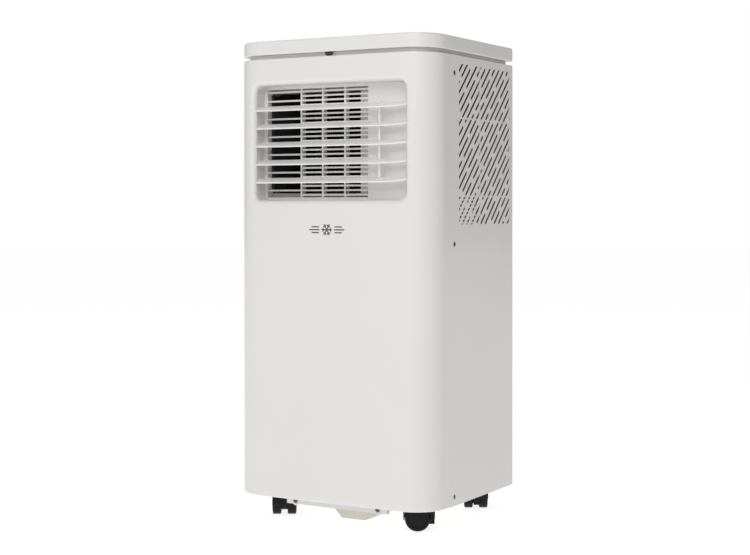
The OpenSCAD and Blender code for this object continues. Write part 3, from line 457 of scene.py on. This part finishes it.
def net(name, shade_scale=1.0):
    """Dark woven filter net: two crossed sets of threads, 1.5 mm apart, their tone times the second argument,
    which below 1 darkens them as painted shade. The near-black between the threads is painted shade seen
    through the net's openings.
    """
    f = Finish(name, 0.8, specular=0.3 * shade_scale)
    threads = []
    for direction in ("X", "Z"):
        wave = f.node("ShaderNodeTexWave", Scale=210.0, Distortion=0.3)
        wave.bands_direction = direction
        f.link(f.coord.outputs["Object"], wave.inputs["Vector"])
        threads.append(wave.outputs["Fac"])
    both = f.node("ShaderNodeMath", operation="MAXIMUM")
    f.link(threads[0], both.inputs[0])
    f.link(threads[1], both.inputs[1])
    # Scaled below 1, the thread tone is darkened as painted shade.
    thread = tuple(c * shade_scale for c in (0.07, 0.07, 0.075))
    # Painted shade: the near-black between the threads stands in for the dark seen through the openings; the
    # dark threads are the net's own colour.
    f.colour(f.ramp(both.outputs["Value"], [(0.55, (0.004, 0.004, 0.005)), (0.9, thread)]))
    f.roughness(f.spread(f.noise(200, 3), 0.6, 0.85))
    f.bump(both.outputs["Value"], 0.8, 0.4)
    return f.material


WHITE = (0.75, 0.736, 0.722)
MATERIALS = {
    "shell": moulded("cabinet gloss", WHITE, 0.3, coat=0.35, grain=0.05, tone=0.01, coat_rough=0.15),
    "cover": moulded("lid gloss", WHITE, 0.3, coat=0.35, grain=0.05, tone=0.01, coat_rough=0.15),
    "louvre": moulded("louvre white", (0.84, 0.835, 0.82), 0.32, coat=0.2, grain=0.06, tone=0.01),
    "guard": moulded("guard white", (0.80, 0.795, 0.78), 0.4, grain=0.08, tone=0.012),
    "duct": moulded("duct cream", (0.5, 0.47, 0.42), 0.6, grain=0.3, tone=0.05),
    "panel": moulded("panel satin", (0.78, 0.77, 0.75), 0.42, grain=0.1, tone=0.012),
    "display": smoked_window("display window"),
    "button": moulded("button grey", (0.42, 0.425, 0.43), 0.45, grain=0.15, tone=0.03),
    "board": circuit_board("lacquered board"),
    "lens": smoked_window("receiver lens"),
    "print": moulded("grey ink", (0.10, 0.102, 0.108), 0.45, grain=0.1, tone=0.08),
    "filter": net("filter net"),
    # Painted shade: the side net is darkened to 0.3 so the slots in the cabinet's sides read as shaded; the
    # net itself is a real part.
    "shaded_side_net": net("side net painted shade", 0.3),
    "fin": fin_stack("coil fins"),
    "housing": moulded("duct grey", (0.035, 0.035, 0.038), 0.7, grain=0.3, tone=0.1, specular=0.2),
    "blower": moulded("blower black", (0.006, 0.006, 0.0065), 0.7, grain=0.2, tone=0.2, specular=0.15),
    "motor": rolled_metal("motor case", (0.5, 0.51, 0.52), 0.42, (1, 1, 30)),
    "compressor": moulded("compressor enamel", (0.018, 0.018, 0.02), 0.28, coat=0.3, grain_mm=1.2,
        grain=0.4, tone=0.2),
    "rubber": rubbery("rubber", (0.014, 0.014, 0.015)),
    "copper": rolled_metal("copper tube", (0.72, 0.36, 0.2), 0.32, (1, 1, 12), 0.55),
    "pan": moulded("pan cream", (0.62, 0.585, 0.52), 0.5, grain=0.25, tone=0.04),
    "capacitor": rolled_metal("capacitor can", (0.66, 0.67, 0.68), 0.28, (1, 1, 40), 0.85),
    "box": moulded("box grey", (0.2, 0.205, 0.21), 0.55, grain=0.3, tone=0.05),
    "caster": moulded("caster black", (0.006, 0.006, 0.0065), 0.45, grain=0.35, tone=0.25, specular=0.25),
    "wheel": moulded("wheel black", (0.008, 0.008, 0.0085), 0.55, grain=0.35, tone=0.25, specular=0.25),
    "steel": rolled_metal("screw steel", (0.2, 0.2, 0.205), 0.42, (30, 1, 1), 0.5),
}

# ------------------------------------------------------------------ cabinet

FLAT_HALF = HALF_W - FRONT_R
SEAM_S = FLAT_HALF + FRONT_R * math.pi / 2 + (SEAM_Y - FRONT_Y - FRONT_R)


def front_plan(s, depth):
    """Point of the front's plan at run s from its middle, moved in by depth: flat, then a quarter
    circle, then the flat side."""
    far = np.abs(s)
    turn = np.clip((far - FLAT_HALF) / FRONT_R, 0, np.pi / 2)
    side = np.clip(far - FLAT_HALF - FRONT_R * np.pi / 2, 0, None)
    x = np.minimum(far, FLAT_HALF) + (FRONT_R - depth) * np.sin(turn)
    y = FRONT_Y + FRONT_R - (FRONT_R - depth) * np.cos(turn) + side
    return np.sign(s) * x, y


def front_cabinet():
    """Front shell with its air mouth as one skin: a ring whose rows run from the back of the mouth's
    wall forward, over a soft lip, across the face, round the outer edges and back along the inside.
    The face's rows are blends of the mouth's outline and the shell's edge, laid on the plan by run."""
    side, arc = 96, 10
    lip_w, lip_d = 6.5, 7.0

    def mouth(grow):
        """The mouth's outline, grown by grow."""
        return round_loop(-MOUTH_HALF_W - grow, MOUTH_HALF_W + grow, MOUTH_Z0 - grow, MOUTH_Z1 + grow,
            [MOUTH_R + grow] * 4, side, arc)

    edge = round_loop(-SEAM_S, SEAM_S, SKIRT_Z, BODY_TOP, [0.2] * 4, side, arc)
    run, z = edge[:, 0], edge[:, 1]
    at_top, at_foot = z > BODY_TOP - 0.3, z < SKIRT_Z + 0.3
    at_seam = np.abs(run) > SEAM_S - 0.3
    foot_round = 1.2 + 3.0 * np.clip((SEAM_S - np.abs(run)) / 60, 0, 1)
    inset = np.zeros_like(edge)
    inset[:, 0] = np.where(at_seam, -np.sign(run) * 0.35, 0)
    inset[:, 1] = np.where(at_foot, foot_round, np.where(at_top, -1.3, 0))
    round_off = np.maximum(np.abs(inset[:, 0]), np.abs(inset[:, 1]))

    def lay(loop, depth):
        """A loop of run and height, laid on the shell's plan at a depth under its face."""
        x, y = front_plan(loop[:, 0], depth)
        return np.stack([x, y, loop[:, 1]], -1)

    def tunnel(loop, y):
        """A loop of run and height, stood upright at y."""
        x = front_plan(loop[:, 0], 0.0)[0]
        return np.stack([x, np.full(len(loop), float(y)), loop[:, 1]], -1)

    rows = [tunnel(mouth(0), y) for y in (MOUTH_BACK, MOUTH_BACK - 0.3, TUNNEL_Y)]
    rows.append(lay(mouth(0), lip_d + 0.6))
    for a in np.linspace(0, np.pi / 2, 10):
        rows.append(lay(mouth(lip_w * (1 - math.cos(a))), lip_d * (1 - math.sin(a))))
    start, end = mouth(lip_w), edge + inset
    for t in np.concatenate([[0.006], np.linspace(0.03, 0.975, 34), [0.995]]):
        rows.append(lay(start * (1 - t) + end * t, 0.0))
    for a in np.linspace(0, np.pi / 2, 6):
        rows.append(lay(edge + inset * (1 - math.sin(a)), round_off * (1 - math.cos(a))))
    turned_in = np.where(at_top, RIM_W, np.maximum(round_off + 0.7, WALL))
    back_off = np.stack([
        np.where(at_seam, -np.sign(run) * 0.7, 0),
        np.where(at_top, -RIM_T, np.where(at_foot, foot_round + 1, 0)),
    ], -1)
    rows.append(lay(edge, turned_in))
    rows.append(lay(edge + back_off, turned_in))
    rows.append(lay(edge + back_off, WALL))
    inner_end, inner_start = edge + back_off, mouth(MOUTH_T)
    for t in np.linspace(0.08, 1, 14):
        rows.append(lay(inner_end * (1 - t) + inner_start * t, WALL))
    rows += [tunnel(mouth(MOUTH_T), TUNNEL_Y), tunnel(mouth(MOUTH_T), MOUTH_BACK)]
    obj = ring_piece("front_cabinet", rows, MATERIALS["shell"])
    even_normals(obj)
    return finished(obj, "cabinet", "shell", "front_shell", "outlet_frame")


front_cabinet()


def plan_loop(inset, side=40, arc=14):
    """The cabinet's plan moved in by inset, as a closed loop that matches panel_loop point for point."""
    front_r, rear_r = max(FRONT_R - inset, 1), max(REAR_R - inset, 1)
    return round_loop(-HALF_W + inset, HALF_W - inset, FRONT_Y + inset, REAR_Y - inset,
        [front_r, front_r, rear_r, rear_r], side, arc)


def at_height(loop, z):
    """A plan loop laid level at height z."""
    return place(loop, 2, z)


PANEL_Y = -78.0
PANEL_HALF = (95.0, 31.0)
PANEL_R = 8


def panel_loop(grow):
    """The lid's opening for the control panel, grown by grow."""
    return round_loop(-PANEL_HALF[0] - grow, PANEL_HALF[0] + grow, PANEL_Y - PANEL_HALF[1] - grow,
        PANEL_Y + PANEL_HALF[1] + grow, [PANEL_R + grow] * 4, 40, 14)


def lid():
    """Top cover: a ring whose rows run up the panel's opening, out over the top, round a soft edge, down
    the side, round the lower edge and back along the inside."""
    z0, z1 = LID_LOW[2], LID_HIGH[2]
    soft, low_soft, panel_soft, top_t = 2.8, 1.2, 0.6, 3.0
    rows = [at_height(panel_loop(0), z1 - top_t), at_height(panel_loop(0), z1 - 0.9)]
    for a in np.linspace(0.3, np.pi / 2, 4):
        grow, drop = panel_soft * (1 - math.cos(a)), panel_soft * (1 - math.sin(a))
        rows.append(at_height(panel_loop(grow), z1 - drop))
    start, end = panel_loop(panel_soft), plan_loop(soft)
    for t in np.concatenate([[0.01], np.linspace(0.08, 0.94, 10), [0.985]]):
        rows.append(at_height(start * (1 - t) + end * t, z1))
    for a in np.linspace(0, np.pi / 2, 7):
        rows.append(at_height(plan_loop(soft * (1 - math.sin(a))), z1 - soft * (1 - math.cos(a))))
    for z in (z1 - soft - 0.3, (z0 + z1) / 2, z0 + low_soft + 0.3):
        rows.append(at_height(plan_loop(0), z))
    for a in np.linspace(0, np.pi / 2, 5):
        rows.append(at_height(plan_loop(low_soft * (1 - math.cos(a))), z0 + low_soft * (1 - math.sin(a))))
    rim = z0 + RIM_T
    for inset, z in ((low_soft + 0.4, z0), (RIM_W, z0), (RIM_W, rim), (WALL, rim), (WALL, z1 - top_t)):
        rows.append(at_height(plan_loop(inset), z))
    inner = plan_loop(WALL)
    for t in (0.3, 0.6, 0.9):
        rows.append(at_height(inner * (1 - t) + panel_loop(0) * t, z1 - top_t))
    obj = ring_piece("lid", rows, MATERIALS["cover"])
    even_normals(obj)
    return finished(obj, "cabinet", "cover", "top_cover")


lid()


def neck():
    """Set-back collar between cabinet and lid: an upright band of the cabinet's plan, one wall thick."""
    z0, z1 = COLLAR_LOW[2], COLLAR_HIGH[2]
    outer, inner = plan_loop(COLLAR_INSET), plan_loop(COLLAR_INSET + WALL)
    rows = [at_height(inner, z0), at_height(outer, z0)]
    rows += [at_height(outer, z) for z in (z0 + 0.2, z1 - 0.2, z1)]
    rows.append(at_height(inner, z1))
    obj = ring_piece("neck", rows, MATERIALS["shell"])
    even_normals(obj)
    return finished(obj, "cabinet", "shell", "top_collar")


neck()


def on_window_edge(a, b):
    """An edge on the rectangle where a side grille meets the rear shell."""
    mid = (a + b) / 2
    across, low, high = mid[1:], GRILLE_LOW[1:], GRILLE_HIGH[1:]
    near = np.minimum(np.abs(across - low), np.abs(across - high)) < 0.05
    inside = np.all((low - 0.1 < across) & (across < high + 0.1))
    return bool(near.any() and inside and abs(mid[0]) > HALF_W - WALL - 1)


def thin_panel(points):
    """Inner face of a side panel moved out, to leave the thin skin that its slots are cut through."""
    moved = points.copy()
    inner = np.abs(points[:, 0]) < HALF_W - 0.5
    moved[inner, 0] += np.sign(points[inner, 0]) * (WALL - LOUVRE_SKIN)
    return moved


softened("rear_cabinet", "rear_shell", MATERIALS["shell"], "shell", 0.5, keep=on_window_edge)
for hand in ("right", "left"):
    softened(f"side_louvre_panel_{hand}", f"side_grille_{hand}", MATERIALS["shell"], "shell", 0.15,
        keep=on_window_edge, reshape=thin_panel)


def plate(name, outline, axis, low, high, material):
    """A flat plate with the given outline across an axis, from low to high."""
    points, faces = tube_island([place(outline, axis, low), place(outline, axis, high)])
    obj = add_mesh(name, points, faces, material)
    outwards(obj)
    return obj


def mouth_wall():
    """Plain wall that closes the right of the air mouth behind the louvres, with two round corners."""
    z0, z1, x0, x1 = MOUTH_Z0, MOUTH_Z1, WALL_X0, MOUTH_HALF_W + 0.6
    arc = np.linspace(0, np.pi / 2, 9)
    low = np.stack([x1 - MOUTH_R + MOUTH_R * np.sin(arc), z0 + MOUTH_R - MOUTH_R * np.cos(arc)], -1)
    high = np.stack([x1 - MOUTH_R + MOUTH_R * np.cos(arc), z1 - MOUTH_R + MOUTH_R * np.sin(arc)], -1)
    outline = np.vstack([[[x0, z0]], low, high, [[x0, z1]]])
    obj = plate("mouth_wall", outline, 1, GUARD_Y, GUARD_Y + MOUTH_T, MATERIALS["guard"])
    bevel(obj, 0.4, 2)
    return finished(obj, "cabinet", "guard", "outlet_frame")


mouth_wall()


def duct_lip():
    """Mouth of the air duct behind the guard: a flat flange, a rounded inner edge and a throat behind it."""
    x0, x1, z0, z1, corner = -120, 46, 465, 608, 8
    front, back, wall, brim = -93.35, -74.0, 1.3, 8.5

    def loop(grow):
        """The duct's opening, grown by grow."""
        return round_loop(x0 - grow, x1 + grow, z0 - grow, z1 + grow, [corner + grow] * 4, 10, 8)

    rows = [place(loop(0), 1, back)]
    for a in np.linspace(0, np.pi / 2, 6):
        rows.append(place(loop(wall * (1 - math.cos(a))), 1, front + wall * (1 - math.sin(a))))
    rows += [place(loop(brim), 1, front), place(loop(brim), 1, front + wall)]
    rows += [place(loop(wall), 1, front + wall), place(loop(wall), 1, back)]
    obj = ring_piece("duct_lip", rows, MATERIALS["duct"])
    return finished(obj, "cabinet", "guard")


duct_lip()


def duct_cheek():
    """Upright strip at the right of the duct, close behind the guard, that turns the air to the left."""
    x0, x1, z0, z1, y0, y1 = 29.6, 47.0, 464.0, 609.0, -91.9, -90.6
    outline = np.array([[x0, z0], [x1, z0], [x1, z1], [x0, z1]])
    obj = plate("duct_cheek", outline, 1, y0, y1, MATERIALS["guard"])
    bevel(obj, 0.5, 2)
    return finished(obj, "cabinet", "guard")


duct_cheek()


def shaded_side_net(name, side):
    """Dust net behind a side grille, a flat thin sheet a little larger than the grille; its dark finish is
    painted shade that makes the side slots read dark. side is 1 or -1.
    """
    behind, over, half_t = 3.2, 4, 0.3
    x = side * (HALF_W - WALL - behind)
    (_, y0, z0), (_, y1, z1) = GRILLE_LOW - over, GRILLE_HIGH + over
    loop = round_loop(y0, y1, z0, z1, [3] * 4, 6, 4)
    obj = plate(name, loop, 0, x - half_t, x + half_t, MATERIALS["shaded_side_net"])
    return finished(obj, "cabinet", "filter")


shaded_side_net("side_dust_net_right", 1)
shaded_side_net("side_dust_net_left", -1)


def foot_strip():
    """Strip under the front edge with a round ear for each screw, and the lip that ties it to the shell."""
    y0, y1, z0, x1 = -109.0, -106.5, 24.6, 82.0
    ear_x, ear_z, ear_r = 67.0, 29.6, 7.0
    inset = 4.4
    drop = ear_z - z0
    half = math.sqrt(ear_r**2 - drop**2)
    reach = math.atan2(half, drop)
    a = np.linspace(-reach, reach, 13)
    ear = np.stack([ear_r * np.sin(a), ear_z - ear_r * np.cos(a)], -1)
    outline = np.vstack([[[-x1, SKIRT_Z + 1.5], [-x1, z0]], ear + [-ear_x, 0], ear + [ear_x, 0],
        [[x1, z0], [x1, SKIRT_Z + 1.5]]])
    strip = tube_island([place(outline, 1, y0), place(outline, 1, y1)])
    t = np.linspace(-1, 1, 90)
    limit = FLAT_HALF + FRONT_R * math.acos((FRONT_Y + FRONT_R - y1) / (FRONT_R - inset))
    x, y = front_plan(t * limit, inset)
    lip_plan = np.stack([x, np.minimum(y, y1)], -1)
    lip = tube_island([place(lip_plan, 2, SKIRT_Z + 0.4), place(lip_plan, 2, SKIRT_Z + 2.4)])
    points, faces = join_islands([strip, lip])
    obj = add_mesh("foot_strip", points, faces, MATERIALS["shell"])
    outwards(obj)
    bevel(obj, 0.7, 3, angle=40)
    return finished(obj, "cabinet", "shell", "foot_strip")


foot_strip()

# ------------------------------------------------------------------ louvres

# A blade's half length, its nose in front of the pivot and tail behind it, and where its front sweeps back
BLADE_HALF = 122.5
NOSE, TAIL = 12.0, 8.0
BLADE_T = 2.2
BLADE_TILT = math.radians(20)
BLADE_CORNER = 4.5
SWEEP, SWEEP_X = 11.0, 62.0
# The notch for the link bar, the lugs beside it and their pin
LINK_X = 73.0
NOTCH_HALF, NOTCH_EDGE = 2.5, 2.8
LUG_T, LUG_BACK, LUG_TOP, LINK_ARM, PIN_R = 2.0, 0.4, 2.5, 7.0, 1.0
# The pivot pins: the third blade's left one is longer, for the motor
PIVOT_R = 1.4
PIN_END, DRIVEN_END, DRIVEN = 125.7, 131.0, 3
PIVOT_Y = -119.72
PIVOT_Z = [585.3, 559.8, 534.3, 508.8, 483.3]


def louvre(index):
    """One blade: a rounded section carried from end to end. Its front edge is straight, then sweeps back
    as the cube of the way to the right end; its ends are rounded in plan; the notch for the link bar
    is a short run of sections with a nearer back edge. Pins and ears are islands of the same mesh."""
    ends = BLADE_CORNER * (1 - np.cos(np.linspace(0, np.pi / 2, 7)))
    notch_x0, notch_x1, step = LINK_X - NOTCH_HALF, LINK_X + NOTCH_HALF, 0.02
    notch = [notch_x0, notch_x0 + step, notch_x1 - step, notch_x1]
    x = np.concatenate([-BLADE_HALF + ends, np.linspace(-110, 60, 12), np.linspace(62, 70.4, 4), notch,
        np.linspace(76, 115, 12), BLADE_HALF - ends[::-1]])
    share = np.clip((x - SWEEP_X) / (BLADE_HALF - SWEEP_X), 0, 1)
    from_end = np.minimum(x + BLADE_HALF, BLADE_HALF - x)
    short = np.clip(BLADE_CORNER - from_end, 0, BLADE_CORNER)
    blunt = BLADE_CORNER - np.sqrt(np.clip(BLADE_CORNER**2 - short**2, 0, None))
    front = -NOSE + SWEEP * share**3 + blunt
    in_notch = (x > notch_x0 + step / 2) & (x < notch_x1 - step / 2)
    back = np.where(in_notch, NOTCH_EDGE, TAIL - blunt * 0.5)
    a = np.linspace(0, np.pi, 9)
    half_t = BLADE_T / 2
    front_r, back_r = half_t * 1.6, half_t * 0.9
    c, s = math.cos(BLADE_TILT), math.sin(BLADE_TILT)
    section = []
    for k in range(len(x)):
        y_front = front[k] + front_r - front_r * np.sin(a)
        y_back = back[k] - back_r + back_r * np.sin(a)[::-1]
        y = np.concatenate([y_front, y_back])
        z = half_t * np.concatenate([np.cos(a), np.cos(a)[::-1]])
        section.append(np.stack([np.full(len(y), x[k]), y * c - z * s, y * s + z * c], -1))
    islands = [tube_island(section)]
    rod = circle_loop(1.0, 20)
    root, pin_half = BLADE_HALF - 3, 3.9
    left = -DRIVEN_END if index == DRIVEN else -PIN_END
    rods = (
        (left, -root, PIVOT_R, (0, 0)),
        (root, PIN_END, PIVOT_R, (0, 0)),
        (LINK_X - pin_half, LINK_X + pin_half, PIN_R, (LINK_ARM, 0)),
    )
    for x0, x1, r, at in rods:
        islands.append(tube_island([place(rod * r, 0, x0, at), place(rod * r, 0, x1, at)]))
    ear_r = PIN_R + 1
    low = np.linspace(-np.pi, 0, 13)
    ear = np.vstack([np.stack([LINK_ARM + ear_r * np.cos(low), ear_r * np.sin(low)], -1),
        [[LINK_ARM + ear_r, LUG_TOP], [LINK_ARM - ear_r, LUG_TOP]]])
    for hand in (-1, 1):
        mid = LINK_X + hand * (NOTCH_HALF + LUG_BACK + LUG_T / 2)
        islands.append(tube_island([place(ear, 0, mid - LUG_T / 2), place(ear, 0, mid + LUG_T / 2)]))
    points, faces = join_islands(islands)
    points = points + [0, PIVOT_Y, PIVOT_Z[index - 1]]
    obj = add_mesh(f"louvre_{index}", points, faces, MATERIALS["louvre"])
    outwards(obj)
    obj.data.set_sharp_from_angle(angle=math.radians(40))
    return finished(obj, f"blade_{index}", "louvre", f"louvre_blade_{index}")


for number in range(1, 6):
    louvre(number)
softened("louvre_link_bar", "louvre_link", MATERIALS["louvre"], "louvre", 0.3)
softened("air_guard", "outlet_guard", MATERIALS["guard"], "guard", 0.5)

# ------------------------------------------------------------------ casters

# Each caster's stem in plan, and the angle in degrees that it is turned to
CASTERS = {
    "front_left": (-114, -65, 30), "front_right": (114, -65, -60),
    "rear_right": (114, 101, -150), "rear_left": (-114, 101, 160),
}
TRAIL, WHEEL_R, WHEEL_W, WEB_HALF = 8.0, 17.5, 12.0, 4.9


def wheel_pair(corner):
    """Two caster wheels on their axle. Each is a turned profile: tread with rounded shoulders and two
    shallow grooves, a dished face and a domed hub; the profile is carried once round the axle."""
    x, y, turn = CASTERS[corner]
    turn = math.radians(turn)
    centre = np.array([x + TRAIL * math.sin(turn), y - TRAIL * math.cos(turn), WHEEL_R])
    axle = np.array([math.cos(turn), math.sin(turn), 0.0])
    fore = np.array([-math.sin(turn), math.cos(turn), 0.0])
    shoulder = 2.0
    a = np.linspace(0, np.pi / 2, 5)
    gap, r, w = WEB_HALF, WHEEL_R, WEB_HALF + WHEEL_W
    profile = [(gap, 4.0), (gap, r - 1.0), (gap + 1.0, r)]
    for groove in (gap + 4.2, gap + 7.0):
        profile += [(groove - 0.5, r), (groove - 0.3, r - 0.5), (groove + 0.3, r - 0.5), (groove + 0.5, r)]
    profile += [(w - shoulder + shoulder * math.sin(t), r - shoulder + shoulder * math.cos(t)) for t in a]
    profile += [(w, r - 4.2), (w - 0.3, r - 4.6), (w - 1.1, r - 5.0)]
    profile += [(w - 1.1, 6.0), (w - 0.9, 5.6), (w - 0.2, 5.2), (w - 0.05, 4.6), (w, 3.0), (w, 0.4)]
    angles = np.linspace(0, 2 * np.pi, 56, endpoint=False)
    ring = np.cos(angles)[:, None] * fore + np.sin(angles)[:, None] * np.array([0.0, 0.0, 1.0])
    islands = []
    for hand in (-1, 1):
        rows = [centre + hand * across * axle + radius * ring for across, radius in profile]
        islands.append(tube_island(rows))
    axle_r = 2.0
    islands.append(tube_island([centre + across * axle + axle_r * ring for across in (-gap - 2, gap + 2)]))
    points, faces = join_islands(islands)
    obj = add_mesh(f"twin_wheels_{corner}", points, faces, MATERIALS["wheel"])
    outwards(obj)
    obj.data.set_sharp_from_angle(angle=math.radians(50))
    return finished(obj, f"rollers_{corner}", "wheel", f"wheels_{corner}")


for corner in CASTERS:
    wheel_pair(corner)
    softened(f"caster_hood_{corner}", f"caster_{corner}", MATERIALS["caster"], "caster", 0.8, 3)

# ------------------------------------------------------------------ the rest of the CAD shapes, softened

SOFT_NODES = (
    ("filter_door", "shell", 0.3), ("control_panel", "panel", 0.35), ("display_window", "display", 0.25),
    ("exhaust_collar", "shell", 0.4), ("drain_plug", "rubber", 0.5), ("cable_gland", "rubber", 0.3),
    ("base_pan", "pan", 0.8), ("drain_sump", "pan", 0.8), ("case_screws", "steel", 0.12),
    ("swing_motor", "motor", 0.3), ("upper_motor", "motor", 1.2), ("lower_motor", "motor", 1.2),
    ("upper_scroll", "housing", 0.5), ("lower_scroll", "housing", 0.5),
    ("compressor", "compressor", 1.5), ("accumulator", "compressor", 0.8), ("compressor_feet", "rubber", 0.8),
    ("electrical_box", "box", 0.6), ("run_capacitor", "capacitor", 0.4), ("drip_tray", "box", 0.5),
    ("control_board", "board", 0.15), ("remote_receiver", "lens", 0.3),
)
for node, finish, width in SOFT_NODES:
    softened(f"{node}_piece", node, MATERIALS[finish], finish, width)
for key in ("power", "mode", "fan", "timer", "warmer", "cooler"):
    softened(f"{key}_key", f"{key}_button", MATERIALS["button"], "button", 0.5, 3)
INK_RAISED = 0.12
softened("frost_mark", "front_emblem", MATERIALS["print"], "print", 0.0, shift=(0, -INK_RAISED, 0))

PLAIN_NODES = {
    "filter_mesh": "filter", "evaporator": "fin", "condenser": "fin", "upper_blower": "blower",
    "lower_blower": "blower", "discharge_pipe": "copper", "suction_pipe": "copper", "capillary": "copper",
}
for node, finish in PLAIN_NODES.items():
    for held in NODES[node].material_slots:
        held.material = MATERIALS[finish]

# ------------------------------------------------------------------ stage

KEY_WATTS, TOP_WATTS = 32, 14
FLOOR_R = 14000.0
FLOOR_GLOW = 0.86
SHADE_FROM = (0.93, 0.36, 0.0)
BRIGHT_SIDE = (0.5, 0.5, 0.5, 1)
DIM_SIDE = (0.04, 0.034, 0.03, 1)


def softbox(name, place_at, aim, size, power):
    """A broad lamp of the given size in metres and power in watts, turned towards a point."""
    data = bpy.data.lights.new(name, "AREA")
    data.shape = "RECTANGLE"
    data.size, data.size_y = size
    data.energy = power
    lamp = bpy.data.objects.new(name, data)
    bpy.context.scene.collection.objects.link(lamp)
    lamp.location = place_at
    lamp.rotation_euler = (Vector(aim) - Vector(place_at)).to_track_quat("-Z", "Y").to_euler()


def studio():
    """Pale floor, plain white backdrop, a broad key light from the front right, and a surround that is
    dim on the right, so the right side of the cabinet falls into soft shade."""
    floor = moulded("studio floor", (0.32, 0.32, 0.32), 0.95, grain=0.02, tone=0.004, specular=0.0)
    shader = floor.node_tree.nodes["Principled BSDF"]
    shader.inputs["Emission Color"].default_value = (1, 1, 1, 1)
    shader.inputs["Emission Strength"].default_value = FLOOR_GLOW
    rim = place(circle_loop(FLOOR_R, 96), 2, 0.0)
    obj = add_mesh("studio_floor", rim, [list(range(len(rim)))], floor, smooth=False)
    world = bpy.data.worlds.new("studio surround")
    bpy.context.scene.world = world
    world.use_nodes = True
    tree = world.node_tree
    background = tree.nodes["Background"]
    coord = tree.nodes.new("ShaderNodeTexCoord")
    away = tree.nodes.new("ShaderNodeVectorMath")
    away.operation = "DOT_PRODUCT"
    away.inputs[1].default_value = SHADE_FROM
    tree.links.new(coord.outputs["Generated"], away.inputs[0])
    ramp = tree.nodes.new("ShaderNodeValToRGB")
    bright, dim = ramp.color_ramp.elements
    bright.position, bright.color = 0.15, BRIGHT_SIDE
    dim.position, dim.color = 0.7, DIM_SIDE
    tree.links.new(away.outputs["Value"], ramp.inputs["Fac"])
    path = tree.nodes.new("ShaderNodeLightPath")
    seen = tree.nodes.new("ShaderNodeMix")
    seen.data_type = "RGBA"
    tree.links.new(path.outputs["Is Camera Ray"], seen.inputs["Factor"])
    tree.links.new(ramp.outputs["Color"], seen.inputs[6])
    seen.inputs[7].default_value = (1, 1, 1, 1)
    tree.links.new(seen.outputs[2], background.inputs["Color"])
    softbox("key softbox", (1.15, -2.3, 1.9), (0, 0, 0.35), (1.6, 1.4), KEY_WATTS)
    softbox("top softbox", (-0.3, 0.3, 3.2), (0, 0, 0), (2.5, 2.5), TOP_WATTS)


studio()

# The camera stands level, turned to the left of the cabinet's depth by VIEW_TURN
VIEW_FROM = (1.0956, -1.9059, 0.4475)
VIEW_TURN = math.asin(0.4984)


def view_camera():
    """The camera at the front right of the cabinet."""
    data = bpy.data.cameras.new("view camera")
    camera = bpy.data.objects.new("view camera", data)
    bpy.context.scene.collection.objects.link(camera)
    camera.location = VIEW_FROM
    camera.rotation_euler = (math.pi / 2, 0, VIEW_TURN)
    data.lens = 72.4
    data.sensor_width = 36
    data.shift_y = -0.096
    bpy.context.scene.camera = camera


view_camera()
bpy.context.scene.view_settings.view_transform = "Standard"
